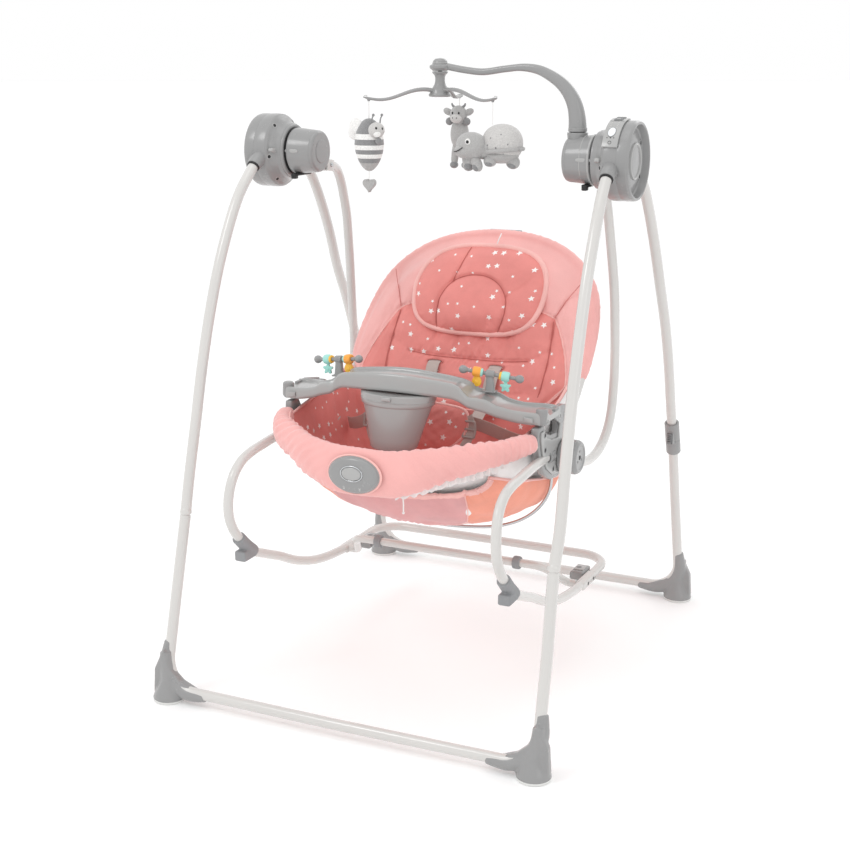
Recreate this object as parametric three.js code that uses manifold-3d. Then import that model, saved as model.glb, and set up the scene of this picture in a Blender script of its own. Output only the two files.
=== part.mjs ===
// Baby swing: folding A-frame stand, motor hubs, hanging seat carriage that doubles as a
// rocker, reclining backrest, flip-up tray with play bars, and a revolving toy mobile.
// Millimetres. +Z up, floor at Z = 0, origin on the floor midway between the four feet,
// +X to the side of the drive hub, the seat faces -Y. Pairs are mirror images in X = 0.
import * as THREE from 'three';
import { mergeVertices } from 'three/addons/utils/BufferGeometryUtils.js';
import Module from 'manifold-3d';

const wasm = await Module();
wasm.setup();

// ---- driving dimensions -------------------------------------------------------------
const GAP = 0.3;                 // clearance between pieces that touch
const LEG_R = 10;                // stand tube radius
const ARM_R = 9;                 // hanger arm tube radius
const RAIL_R = 9;                // rocker rail tube radius
const RING_R = 8;                // seat ring and backrest tube radius
const ROD_R = 3.2;               // sling support rod radius
const FOOT_X = 360, FOOT_Y = 445.5;   // centre of each foot pad
const BAR_Z = 24;                // height of the floor crossbars
const AXIS_Y = -31, AXIS_Z = 979;     // swing axis, parallel to X
const HUB_R = 69;                // hub housing radius
const HUB_X0 = 328, HUB_X1 = 358, HUB_X2 = 379;   // housing and cover along X
const COLLAR_X = 305, COLLAR_R = 50;  // collar on the inner side of the housing
const DRUM_X0 = 248, DRUM_X1 = 302;   // swinging drum along X
const AXLE_R = 8;
const SEAT_PIV_Y = -60, SEAT_PIV_Z = 444;   // backrest pivot
const PLATE_X0 = 242, PLATE_X1 = 260;       // seat side plate along X
const TRAY_PIV_Y = -43, TRAY_PIV_Z = 523;   // tray hinge
const KICK_Y = 70, KICK_Z = 147;            // kickstand hinge on the rocker rails
const RAIL_X = 262;
const MAST_X = 262;              // mobile mast pivot
const ROTOR_R = 134;             // radius of the mobile's three arms
const ROTOR_ANGLES = [222, -22, 98];  // degrees: first toy, second toy, third toy

// ---- materials ----------------------------------------------------------------------
const mat = (hex, roughness, metalness = 0) => () => new THREE.MeshStandardMaterial({ color: hex, roughness, metalness });
const TUBE_WHITE = mat(0xe3e0dd, 0.32, 0.1);
const GREY = mat(0xa6a6a6, 0.3);
const GREY_DARK = mat(0x8c8c8d, 0.45);
const RUBBER = mat(0x8a8b8c, 0.8);
const STEEL = mat(0xb9bbbd, 0.25, 1);
const PINK = mat(0xf6bdb9, 0.9);
const CORAL = mat(0xf0a09a, 0.9);
const YELLOW = mat(0xf7c04a, 0.35);
const MINT = mat(0xa8ddd3, 0.35);
const PANEL = mat(0xb4b4b4, 0.25);
const PLUSH = mat(0xb3b1b0, 0.95);
const PLUSH_LIGHT = mat(0xd2d0ce, 0.95);

// ---- small helpers --------------------------------------------------------------------
const V = (x, y, z) => new THREE.Vector3(x, y, z);
const group = new THREE.Group();
function put(name, geometry, material) {
  const mesh = new THREE.Mesh(geometry, material());
  mesh.name = name;
  group.add(mesh);
}
function plain(geometry) {
  let g = geometry.clone();
  for (const k of Object.keys(g.attributes)) if (k !== 'position') g.deleteAttribute(k);
  g = mergeVertices(g, 1e-4);
  return g;
}
function solid(geometry) {
  const g = plain(geometry);
  return new wasm.Manifold(new wasm.Mesh({
    numProp: 3,
    vertProperties: new Float32Array(g.attributes.position.array),
    triVerts: new Uint32Array(g.index.array),
  }));
}
function geom(manifold) {
  const m = manifold.getMesh();
  const g = new THREE.BufferGeometry();
  const n = m.numProp, p = new Float32Array((m.vertProperties.length / n) * 3);
  for (let i = 0; i < p.length / 3; i++) for (let k = 0; k < 3; k++) p[i * 3 + k] = m.vertProperties[i * n + k];
  g.setAttribute('position', new THREE.BufferAttribute(p, 3));
  g.setIndex(Array.from(m.triVerts));
  return g;
}
function mirrorX(geometry) {
  const g = plain(geometry);
  const p = g.attributes.position;
  for (let i = 0; i < p.count; i++) p.setX(i, -p.getX(i));
  const a = g.index.array;
  for (let i = 0; i < a.length; i += 3) { const t = a[i]; a[i] = a[i + 1]; a[i + 1] = t; }
  return g;
}
// the +X piece is built, its mirror image is the -X piece
function pair(name, geometry, material) {
  put(`${name}_right`, geometry, material);
  put(`${name}_left`, mirrorX(geometry), material);
}
class Route extends THREE.Curve {       // rings fall exactly on the knots
  constructor(knots) { super(); this.knots = knots; }
  getPointAt(u, out = new THREE.Vector3()) {
    const s = u * (this.knots.length - 1), i = Math.min(Math.floor(s + 1e-9), this.knots.length - 2);
    return out.copy(this.knots[i]).lerp(this.knots[i + 1], Math.min(1, Math.max(0, s - i)));
  }
  getPoint(u, out) { return this.getPointAt(u, out); }
  getTangentAt(u, out = new THREE.Vector3()) {
    const k = this.knots, n = k.length - 1, i = Math.round(u * n);
    out.set(0, 0, 0);
    if (i > 0) out.add(k[i].clone().sub(k[i - 1]).normalize());
    if (i < n) out.add(k[i + 1].clone().sub(k[i]).normalize());
    return out.normalize();
  }
  getTangent(u, out) { return this.getTangentAt(u, out); }
}
const ngon = (r, n) => {
  const s = new THREE.Shape();
  for (let i = 0; i < n; i++) {
    const a = (i + 0.5) / n * 2 * Math.PI;
    if (i) s.lineTo(r * Math.cos(a), r * Math.sin(a)); else s.moveTo(r * Math.cos(a), r * Math.sin(a));
  }
  s.closePath();
  return s;
};
const tube = (knots, r, sides = 8) => new THREE.ExtrudeGeometry(ngon(r / Math.cos(Math.PI / sides) * 0.98, sides),
  { steps: knots.length - 1, bevelEnabled: false, extrudePath: new Route(knots) });
// straight runs joined by round bends
function bends(points, radius, stepDeg = 18) {
  const out = [points[0].clone()];
  for (let i = 1; i < points.length - 1; i++) {
    const p = points[i], a = points[i - 1].clone().sub(p).normalize(), b = points[i + 1].clone().sub(p).normalize();
    const turn = Math.PI - a.angleTo(b);
    if (turn < 0.05) { out.push(p.clone()); continue; }
    const R = Array.isArray(radius) ? radius[i] : radius;
    const cut = R * Math.tan(turn / 2), bis = a.clone().add(b).normalize();
    const c = p.clone().addScaledVector(bis, R / Math.cos(turn / 2));
    const s = p.clone().addScaledVector(a, cut).sub(c), e = p.clone().addScaledVector(b, cut).sub(c);
    const n = Math.max(1, Math.round(turn / (stepDeg * Math.PI / 180)));
    for (let k = 0; k <= n; k++) {
      const w = k / n, sn = Math.sin(turn);
      out.push(c.clone().addScaledVector(s, Math.sin((1 - w) * turn) / sn).addScaledVector(e, Math.sin(w * turn) / sn));
    }
  }
  out.push(points[points.length - 1].clone());
  return out;
}
const smooth = (points, n) => new THREE.CatmullRomCurve3(points, false, 'centripetal').getPoints(n);
const mirrorRoute = (half) => [...half.map((p) => V(-p.x, p.y, p.z)), ...half.slice().reverse().filter((p) => Math.abs(p.x) > 1e-6)];
// rows of points, each row a closed ring with the same count; ends are capped
function loft(rows) {
  const n = rows[0].length, pos = [], idx = [];
  for (const r of rows) for (const p of r) pos.push(p.x, p.y, p.z);
  for (let i = 0; i < rows.length - 1; i++) for (let j = 0; j < n; j++) {
    const a = i * n + j, b = i * n + (j + 1) % n, c = a + n, d = b + n;
    idx.push(a, b, d, a, d, c);
  }
  const cap = (row, flip) => {
    const c = V(0, 0, 0); rows[row].forEach((p) => c.add(p)); c.divideScalar(n);
    const k = pos.length / 3; pos.push(c.x, c.y, c.z);
    for (let j = 0; j < n; j++) {
      const a = row * n + j, b = row * n + (j + 1) % n;
      if (flip) idx.push(k, b, a); else idx.push(k, a, b);
    }
  };
  cap(0, true); cap(rows.length - 1, false);
  const g = new THREE.BufferGeometry();
  g.setAttribute('position', new THREE.Float32BufferAttribute(pos, 3));
  g.setIndex(idx);
  return outward(g);
}
function outward(g) {      // turn the faces out if the signed volume is negative
  const p = g.attributes.position, a = g.index.array; let vol = 0;
  const A = V(0, 0, 0), B = V(0, 0, 0), C = V(0, 0, 0);
  for (let i = 0; i < a.length; i += 3) {
    A.fromBufferAttribute(p, a[i]); B.fromBufferAttribute(p, a[i + 1]); C.fromBufferAttribute(p, a[i + 2]);
    vol += A.dot(B.clone().cross(C));
  }
  if (vol < 0) for (let i = 0; i < a.length; i += 3) { const t = a[i]; a[i] = a[i + 1]; a[i + 1] = t; }
  return g;
}
// profile of [x, r] pairs turned about the line (y, z) parallel to X
function turnX(profile, y, z, seg = 24) {
  const g = plain(new THREE.LatheGeometry(profile.map(([x, r]) => new THREE.Vector2(r, x)), seg));
  g.rotateZ(-Math.PI / 2);
  g.translate(0, y, z);
  return outward(cleaned(g));
}
function cleaned(g) {      // drop zero-area triangles on the axis
  const a = g.index.array, keep = [];
  for (let i = 0; i < a.length; i += 3) if (a[i] !== a[i + 1] && a[i + 1] !== a[i + 2] && a[i] !== a[i + 2]) keep.push(a[i], a[i + 1], a[i + 2]);
  g.setIndex(keep);
  return g;
}
function turnZ(profile, x, y, seg = 24, sx = 1, sy = 1) {      // profile of [r, z]
  const g = plain(new THREE.LatheGeometry(profile.map(([r, z]) => new THREE.Vector2(r, z)), seg));
  g.rotateX(Math.PI / 2);
  g.scale(sx, sy, 1);
  g.translate(x, y, 0);
  return outward(cleaned(g));
}
// outline of [y, z] pairs, thick from x0 to x1
function slabX(outline, x0, x1) {
  const s = new THREE.Shape(outline.map(([y, z]) => new THREE.Vector2(y, z)));
  const g = plain(new THREE.ExtrudeGeometry(s, { depth: x1 - x0, bevelEnabled: false }));
  const m = new THREE.Matrix4().makeBasis(V(0, 1, 0), V(0, 0, 1), V(1, 0, 0));
  g.applyMatrix4(m); g.translate(x0, 0, 0);
  return outward(g);
}
// outline of [x, z] pairs, thick from y0 to y1
function slabY(outline, y0, y1) {
  const s = new THREE.Shape(outline.map(([x, z]) => new THREE.Vector2(x, z)));
  const g = plain(new THREE.ExtrudeGeometry(s, { depth: y1 - y0, bevelEnabled: false }));
  const m = new THREE.Matrix4().makeBasis(V(1, 0, 0), V(0, 0, 1), V(0, -1, 0));
  g.applyMatrix4(m); g.translate(0, y1, 0);
  return outward(g);
}
function boxAt(x0, x1, y0, y1, z0, z1) {
  const g = plain(new THREE.BoxGeometry(x1 - x0, y1 - y0, z1 - z0));
  g.translate((x0 + x1) / 2, (y0 + y1) / 2, (z0 + z1) / 2);
  return g;
}
const rodX = (x0, x1, y, z, r, seg = 16) => turnX([[x0, 0], [x0, r], [x1, r], [x1, 0]], y, z, seg);
function rodAlong(a, b, r, seg = 12) {
  const g = plain(new THREE.CylinderGeometry(r, r, a.distanceTo(b), seg));
  g.applyQuaternion(new THREE.Quaternion().setFromUnitVectors(V(0, 1, 0), b.clone().sub(a).normalize()));
  const m = a.clone().add(b).multiplyScalar(0.5); g.translate(m.x, m.y, m.z);
  return outward(g);
}
const arcYZ = (r, a0, a1, n) => Array.from({ length: n + 1 }, (_, i) => {
  const a = (a0 + (a1 - a0) * i / n) * Math.PI / 180;
  return [AXIS_Y + r * Math.cos(a), AXIS_Z + r * Math.sin(a)];
});
const sectorX = (r0, r1, a0, a1, x0, x1, n = 8) => slabX([...arcYZ(r0, a0, a1, n), ...arcYZ(r1, a1, a0, n)], x0, x1);
const ellipse = (cx, cz, rx, rz, n) => Array.from({ length: n }, (_, i) => {
  const a = i / n * 2 * Math.PI; return [cx + rx * Math.cos(a), cz + rz * Math.sin(a)];
});

// ---- stand: front half -------------------------------------------------------------
const SEAM_F = V(359.6, -370.3, 335.4);
const frontHalf = bends([SEAM_F, V(363.1, -402.6, 200), V(365, -448, BAR_Z), V(0, -452, BAR_Z)], [0, 400, 62, 0], 18).slice(0, -1);
const frontBase = [...frontHalf, ...frontHalf.slice().reverse().map((p) => V(-p.x, p.y, p.z))];
put('front_base_tube', tube(frontBase, LEG_R), TUBE_WHITE);
const frontLeg = smooth([V(359.5, -369.4, 339), V(361.8, -350.4, 400), V(359.7, -324.9, 500), V(358.3, -298.8, 600),
  V(357.1, -266.3, 700), V(354.8, -225.4, 800), V(351.6, -167.8, 900), V(348.2, -131.6, 940), V(347, -104, 963), V(346.5, -84, 972)], 16);
pair('front_leg', tube(frontLeg, LEG_R), TUBE_WHITE);

// ---- stand: rear half -----------------------------------------------------------------
const SEAM_R = V(354.2, 367.5, 384);
const rearHalf = bends([SEAM_R, V(355, 407, 237), V(362, 448, BAR_Z), V(0, 452, BAR_Z)], [0, 400, 62, 0], 18).slice(0, -1);
const rearBase = [...rearHalf, ...rearHalf.slice().reverse().map((p) => V(-p.x, p.y, p.z))];
put('rear_base_tube', tube(rearBase, LEG_R), TUBE_WHITE);
const rearLeg = smooth([V(354.2, 366.6, 387.5), V(354.8, 342, 450), V(355.5, 303, 560), V(355.5, 262, 650), V(354.8, 223, 720), V(352, 185.4, 800),
  V(349.7, 138.4, 880), V(348.6, 107, 921), V(348, 76, 946), V(348, 42, 962), V(348, 16, 968)], 16);
const rearLug = slabX([[20, 976], [20, 958], [-20, 962], [-31, 962], [-45, 967], [-50, 981], [-45, 995], [-31, 1000], [-17, 994]], 342, 354);
const axleHole = solid(rodX(330, 370, AXIS_Y, AXIS_Z, AXLE_R + GAP, 20));
pair('rear_leg', geom(solid(tube(rearLeg, LEG_R)).add(solid(rearLug)).subtract(axleHole)), TUBE_WHITE);

// ---- feet: a shoe over each corner bend ----------------------------------------------
function foot(sign, route) {
  const y = sign * FOOT_Y;
  const wedge = solid(slabY([[380, 112], [386, 70], [391, 12], [391, 0], [318, 0], [278, 11], [278, 16], [322, 40], [346, 68], [352, 112]], y - 15, y + 15));
  const pad = solid(turnZ([[0, 0], [31, 0], [31, 5], [22, 20], [0, 20]], FOOT_X, y, 20));
  const channel = solid(tube([...route, V(-route[route.length - 1].x, route[route.length - 1].y, BAR_Z)], LEG_R + GAP + 0.25, 8));
  return geom(wedge.add(pad).subtract(channel));
}
pair('front_foot', foot(-1, frontHalf), GREY);
pair('rear_foot', foot(1, rearHalf), GREY);

// ---- rear leg couplings with their spring buttons -----------------------------------
const cpl = [V(354.1, 380, 352), V(354.6, 353, 421)];
const cplSleeve = solid(tube(cpl, 15, 10));
const cplBore = solid(tube(rearBase, LEG_R + GAP + 0.3)).add(solid(tube(rearLeg, LEG_R + GAP + 0.3))).add(solid(tube([V(354.2, 370, 378), V(354.2, 364, 394)], LEG_R + GAP + 0.3)));
const cplNose = solid(boxAt(346.5, 362.5, 343, 366, 374, 402));
const cplPocket = solid(boxAt(349.3, 359.7, 335, 360, 376.8, 399.2));
pair('leg_coupling', geom(cplSleeve.add(cplNose).subtract(cplPocket).subtract(cplBore)), GREY);
pair('coupling_button', boxAt(349.7, 359.3, 339.5, 347.5, 377.2, 398.8), GREY_DARK);

// ---- hubs ------------------------------------------------------------------------------
const housingProfile = [[COLLAR_X, 14], [COLLAR_X, COLLAR_R - 2], [COLLAR_X + 2, COLLAR_R], [HUB_X0 - 8, 54], [HUB_X0, 63], [HUB_X0 + 4, HUB_R - 1],
  [HUB_X0 + 7, HUB_R], [HUB_X1, HUB_R], [HUB_X1, HUB_R - 3], [HUB_X0 + 6, HUB_R - 3], [HUB_X0 + 2, 60], [HUB_X0 - 7, 50], [HUB_X0 - 7, 14], [COLLAR_X, 14]];
let housing = solid(turnX(housingProfile, AXIS_Y, AXIS_Z, 20));
housing = housing.subtract(solid(tube(frontLeg, LEG_R + GAP + 0.3)));
housing = housing.subtract(solid(sectorX(45, 78, -78, -3, 336.5, 359.5, 10)));
pair('hub_housing', geom(housing), GREY);
const coverProfile = [[HUB_X1 + GAP, 20], [HUB_X1 + GAP, HUB_R], [HUB_X2 - 4, HUB_R], [HUB_X2, HUB_R - 4], [HUB_X2, 52], [HUB_X2 - 4, 48], [HUB_X2 - 4, 0],
  [HUB_X2 - 8, 0], [HUB_X2 - 8, 20], [HUB_X1 + GAP, 20]];
pair('hub_cover', turnX(coverProfile, AXIS_Y, AXIS_Z, 20), GREY);
put('drive_motor', geom(solid(boxAt(334.5, 356, -54, -8, 1003.5, 1024)).add(solid(rodX(330.5, 335, AXIS_Y, 1013, 5, 12)))), GREY_DARK);
// control panel saddled on the rim of the drive hub, with two buttons
let panel = solid(sectorX(HUB_R + GAP, HUB_R + 4.3, 84, 150, 331.5, 357.5, 12));
const btnAt = (a0, a1, x0, x1, r0, r1) => solid(sectorX(r0, r1, a0, a1, x0, x1, 2));
panel = panel.subtract(btnAt(87, 96, 337, 353, HUB_R - 1, HUB_R + 9)).subtract(btnAt(99, 108, 337, 353, HUB_R - 1, HUB_R + 9));
put('control_panel', geom(panel), PANEL);
put('power_button', geom(btnAt(87.4, 95.6, 337.4, 352.6, HUB_R + 2.2, HUB_R + 5.8)), GREY_DARK);
put('speed_button', geom(btnAt(99.4, 107.6, 337.4, 352.6, HUB_R + 2.2, HUB_R + 5.8)), GREY_DARK);

// ---- swinging drums with axle stub and arm lug ------------------------------------------
const drumProfile = [[DRUM_X0, 0], [DRUM_X0, 36], [DRUM_X0 + 3, 39], [DRUM_X1 - 2, 44], [DRUM_X1, 43], [DRUM_X1, 12], [DRUM_X1 + 1, AXLE_R], [368, AXLE_R], [368, 0]];
const drum = solid(turnX(drumProfile, AXIS_Y, AXIS_Z, 18)).add(solid(boxAt(262, 279, -20, 31, 938, 957)));
put('swing_drum_left', mirrorX(geom(drum)), GREY);
// the drive-side drum carries the round socket for the mobile mast
const socket = solid(turnZ([[0, 941], [16, 941], [17, 943], [17, 1024.5], [15, 1026], [0, 1026]], MAST_X + 3, AXIS_Y, 20));
put('swing_drum_right', geom(drum.add(socket)), GREY);

// ---- hanger arms --------------------------------------------------------------------
const arm = smooth([V(270, 34.4, 947.5), V(272, 54, 946), V(275, 80, 936), V(277, 101, 910), V(278, 114, 880), V(279, 127.4, 840), V(281, 136.4, 800),
  V(283, 144.6, 760), V(285, 152, 715), V(286, 159, 650), V(286, 165, 582), V(286, 162, 523), V(286, 149, 474), V(286, 119, 441), V(286, 72, 421),
  V(286, 18, 418), V(286, -30, 427)], 24);
pair('hanger_arm', tube(arm, ARM_R), TUBE_WHITE);

// ---- seat side plates and outer caps --------------------------------------------------
let plate = solid(slabX([[-175, 521], [-147, 522], [-135, 504], [-109, 495], [-73, 492], [-61, 531], [-43, 538], [-26, 531], [-18, 492], [-14, 462],
  [-20, 432], [-36, 414], [-69, 405], [-107, 410], [-141, 430], [-167, 466], [-177, 500]], PLATE_X0, PLATE_X1));
plate = plate.add(solid(rodX(PLATE_X1 - 4, 271.5, TRAY_PIV_Y, TRAY_PIV_Z, 4, 12)));
plate = plate.subtract(solid(rodX(238, PLATE_X1 - 1.5, SEAT_PIV_Y, SEAT_PIV_Z, 10 + GAP, 20)));
const rail0 = [V(250, -98, 453.5), V(254, -150, 457), V(257.5, -210, 458.5), V(257.5, -262, 455), V(257, -303, 451), V(257, -336, 442), V(258, -362, 421), V(260, -376, 388),
  V(261, -377, 352), V(261.6, -363, 320), V(262, -336, 290), V(262, -300, 259), V(262, -250, 236), V(262, -200, 215.3), V(262, -150, 191.5), V(262, -100, 173),
  V(262, -50, 160), V(262, 0, 152), V(262, 50, 147.5), V(262, 96, 145)];
const rail = smooth(rail0, 24);

pair('rocker_rail', tube(rail, RAIL_R), TUBE_WHITE);
pair('arm_cap', geom(solid(turnX([[PLATE_X1 + GAP, 0], [PLATE_X1 + GAP, 30], [PLATE_X1 + 4, 32], [293, 32], [298, 27], [298, 0]], SEAT_PIV_Y, SEAT_PIV_Z, 24))
  .subtract(solid(tube(arm, ARM_R + GAP + 0.3)))), GREY);

// ---- rocker base ------------------------------------------------------------------------
const clip = solid(boxAt(250, 274, -345, -300, 250, 282)).subtract(solid(tube(rail, RAIL_R + GAP + 0.3)))
  .subtract(solid(boxAt(RAIL_X - 7, RAIL_X + 7, -380, -290, 272, 300)));
pair('rail_foot', geom(clip), RUBBER);
const rearUHalf = bends([V(RAIL_X, 96.5, 145), V(RAIL_X, 246, 146), V(0, 249, 146)], [0, 58, 0], 18).slice(0, -1);
const rearU = [...rearUHalf, ...rearUHalf.slice().reverse().map((p) => V(-p.x, p.y, p.z))];
put('rear_u_bar', tube(rearU, RAIL_R), TUBE_WHITE);
// grey latch blocks on the inside of the rails, under the bar's ends
pair('rail_latch', geom(solid(boxAt(224, 252.6, 108, 158, 134, 157)).subtract(solid(boxAt(220, 232, 118, 148, 130, 146)))), GREY);

// ---- kickstand: folded-up stop bar between the rails ----------------------------------------
const kickHalf = bends([V(251.5, KICK_Y, KICK_Z), V(232, KICK_Y, KICK_Z), V(205, 6.4, 197), V(0, 6.4, 197)], [0, 14, 34, 0], 20).slice(0, -1);
let kick = solid(tube([...kickHalf, ...kickHalf.slice().reverse().map((p) => V(-p.x, p.y, p.z))], 8));
kick = kick.add(solid(rodX(144, 158, 6.4, 197, 13, 14))).add(solid(rodX(-158, -144, 6.4, 197, 13, 14)));
put('kickstand_bar', geom(kick), TUBE_WHITE);

// ---- seat ring and front band -----------------------------------------------------------
const ringHalf = [V(249, -158, 486), V(247, -176, 488), V(241, -202, 488), V(231, -228, 486), V(216, -254, 482), V(195, -279, 478), V(165, -303, 473), V(118, -334, 467),
  V(60, -355, 462), V(0, -361, 461)];
const ring = smooth(mirrorRoute(ringHalf), 22);
put('seat_ring_tube', tube(ring, RING_R), TUBE_WHITE);
plate = plate.subtract(solid(tube(rail, RAIL_R + GAP + 0.3))).subtract(solid(tube(ring, RING_R + GAP + 0.3)));
pair('seat_side', geom(plate), GREY);
const bandRows = (route, n) => route.map((p, i) => {
  const grow = Math.min(1, (252 - Math.abs(p.x)) / 60 + 0.04), hw = 12 + 8 * Math.pow(grow, 0.7), hh = 14 + 27 * grow;
  const a = route[Math.max(0, i - 1)], b = route[Math.min(route.length - 1, i + 1)];
  const t = b.clone().sub(a).setZ(0).normalize(), side = V(t.y, -t.x, 0);
  return Array.from({ length: n }, (_, k) => {
    const w = k / n * 2 * Math.PI;
    return p.clone().addScaledVector(side, hw * Math.sign(Math.cos(w)) * Math.pow(Math.abs(Math.cos(w)), 0.8)).add(V(0, 0, hh * Math.sin(w)));
  });
});
const bandRoute = ring.filter((p) => p.y < -181);
put('seat_front_band', geom(solid(loft(bandRows(bandRoute, 10))).subtract(solid(tube(ring, RING_R + 0.6)))), PINK);

// ---- sling under the seat -----------------------------------------------------------------
function slingSolid() {
  // [y, half width, height of the side edges, height at the middle]
  const rows = [[-318, 110, 414, 402], [-285, 165, 412, 372], [-235, 200, 411, 340], [-175, 218, 409, 314], [-110, 224, 402, 294], [-45, 224, 392, 282],
    [15, 220, 382, 286], [58, 214, 374, 306]];
  const N = 12, T = 8, pos = [], idx = [], R = rows.length;
  const at = (r, k, off) => {
    const [y, w, zs, zm] = rows[r], a = (k / N - 0.5) * Math.PI;
    return [(w + off) * Math.sin(a), y, zs - (zs - zm + off) * Math.cos(a)];
  };
  for (const off of [0, T]) for (let r = 0; r < R; r++) for (let k = 0; k <= N; k++) pos.push(...at(r, k, off));
  const id = (s, r, k) => s * R * (N + 1) + r * (N + 1) + k;
  for (let r = 0; r < R - 1; r++) for (let k = 0; k < N; k++) {
    idx.push(id(0, r, k), id(0, r, k + 1), id(0, r + 1, k + 1), id(0, r, k), id(0, r + 1, k + 1), id(0, r + 1, k));
    idx.push(id(1, r, k), id(1, r + 1, k + 1), id(1, r, k + 1), id(1, r, k), id(1, r + 1, k), id(1, r + 1, k + 1));
  }
  const quad = (a, b, c, d) => idx.push(a, b, c, a, c, d);
  for (let k = 0; k < N; k++) {
    quad(id(0, 0, k), id(1, 0, k), id(1, 0, k + 1), id(0, 0, k + 1));
    quad(id(0, R - 1, k), id(0, R - 1, k + 1), id(1, R - 1, k + 1), id(1, R - 1, k));
  }
  for (let r = 0; r < R - 1; r++) {
    quad(id(0, r, 0), id(0, r + 1, 0), id(1, r + 1, 0), id(1, r, 0));
    quad(id(0, r, N), id(1, r, N), id(1, r + 1, N), id(0, r + 1, N));
  }
  const g = new THREE.BufferGeometry();
  g.setAttribute('position', new THREE.Float32BufferAttribute(pos, 3));
  g.setIndex(idx);
  return outward(g);
}
put('seat_sling', slingSolid(), PINK);
const rodHalf = [V(237.5, -50, 424), V(238, -50, 400), V(234, -48, 370), V(218, -44, 340), V(185, -38, 308), V(130, -30, 281), V(65, -25, 268), V(0, -24, 264)];
put('sling_rod', tube(smooth(mirrorRoute(rodHalf), 26), ROD_R, 6), STEEL);

// ---- vibration unit on the front band --------------------------------------------------------
const unit = solid(slabY(ellipse(0, 462, 48, 32, 24), -394.5, -382)).subtract(solid(slabY(ellipse(0, 466, 19.4, 12.4, 20), -400, -388)));
put('vibration_unit', geom(unit), GREY);
put('vibration_button', slabY(ellipse(0, 466, 19, 12, 20), -397.5, -391.2), STEEL);

// ---- backrest -------------------------------------------------------------------------------
const backHalf = [V(231, -60, 444), V(232, -20, 452), V(235, 24, 476), V(240, 62, 518), V(243, 96, 560), V(244, 130, 600), V(239, 174, 650), V(222, 214, 702),
  V(187, 244, 743), V(138, 266, 773), V(74, 281, 791), V(0, 286, 797)];
const backRoute = smooth(mirrorRoute(backHalf), 28);
let backTube = solid(tube(backRoute, RING_R));
for (const s of [1, -1]) backTube = backTube.add(solid(rodX(Math.min(s * 226, s * 257), Math.max(s * 226, s * 257), SEAT_PIV_Y, SEAT_PIV_Z, 10, 12)));
put('backrest_tube', geom(backTube), TUBE_WHITE);
// padded panel in front of the tube: [z, half width, y at the middle, y at the edge, thickness at the middle]
const padRows = [[468, 150, 44, 34, 22], [490, 196, 58, 38, 26], [520, 220, 76, 50, 30], [556, 232, 95, 72, 32], [592, 236, 112, 101, 34], [628, 236, 127, 130, 34],
  [664, 228, 143, 156, 34], [700, 210, 162, 180, 34], [736, 182, 186, 206, 32], [766, 142, 210, 232, 28], [790, 84, 238, 250, 22]];
function padSolid(rows, N) {
  const pos = [], idx = [], R = rows.length;
  const at = (r, k, back) => {
    const [z, w, ym, ye, t] = rows[r], u = 2 * k / N - 1;
    const y = ym + (ye - ym) * u * u + (back ? Math.max(7, t * (1 - 0.8 * u * u)) : 0);
    return [w * u, y, z + (back ? 0.12 * t : 0)];
  };
  for (const back of [0, 1]) for (let r = 0; r < R; r++) for (let k = 0; k <= N; k++) pos.push(...at(r, k, back));
  const id = (s, r, k) => s * R * (N + 1) + r * (N + 1) + k;
  const quad = (a, b, c, d) => idx.push(a, b, c, a, c, d);
  for (let r = 0; r < R - 1; r++) for (let k = 0; k < N; k++) {
    quad(id(0, r, k), id(0, r, k + 1), id(0, r + 1, k + 1), id(0, r + 1, k));
    quad(id(1, r, k), id(1, r + 1, k), id(1, r + 1, k + 1), id(1, r, k + 1));
  }
  for (let k = 0; k < N; k++) {
    quad(id(0, 0, k), id(1, 0, k), id(1, 0, k + 1), id(0, 0, k + 1));
    quad(id(0, R - 1, k), id(0, R - 1, k + 1), id(1, R - 1, k + 1), id(1, R - 1, k));
  }
  for (let r = 0; r < R - 1; r++) {
    quad(id(0, r, 0), id(0, r + 1, 0), id(1, r + 1, 0), id(1, r, 0));
    quad(id(0, r, N), id(1, r, N), id(1, r + 1, N), id(0, r + 1, N));
  }
  const g = new THREE.BufferGeometry();
  g.setAttribute('position', new THREE.Float32BufferAttribute(pos, 3));
  g.setIndex(idx);
  return outward(g);
}
put('backrest_pad', geom(solid(padSolid(padRows, 10)).subtract(solid(tube(backRoute, RING_R + 0.8, 8)))), CORAL);
// head cushion lying on the pad
const padFront = (x, z) => {
  let i = 0;
  while (i < padRows.length - 2 && padRows[i + 1][0] < z) i++;
  const [a, b] = [padRows[i], padRows[i + 1]], k = (z - a[0]) / (b[0] - a[0]), mix = (j) => a[j] + (b[j] - a[j]) * k;
  return mix(2) + (mix(3) - mix(2)) * (x / mix(1)) ** 2;
};
const pillowRows = [[636, 84, -12], [656, 116, -20], [690, 134, -26], [724, 130, -26], [750, 112, -20], [766, 88, -12]];   // [z, half width, thickness]
function pillowSolid() {
  const rows = pillowRows, N = 8;
  return loft(rows.map(([z, w, t]) => {
    const front = [], back = [];
    for (let k = 0; k <= N; k++) {
      const u = 2 * k / N - 1, y = padFront(w * u, z) - 3;
      front.push(V(w * u, y + t * (1 - 0.75 * u * u * u * u), z + 5)); back.push(V(w * u, y, z));
    }
    return [...front, ...back.reverse()];
  }));
}
put('head_cushion', pillowSolid(), CORAL);

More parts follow.
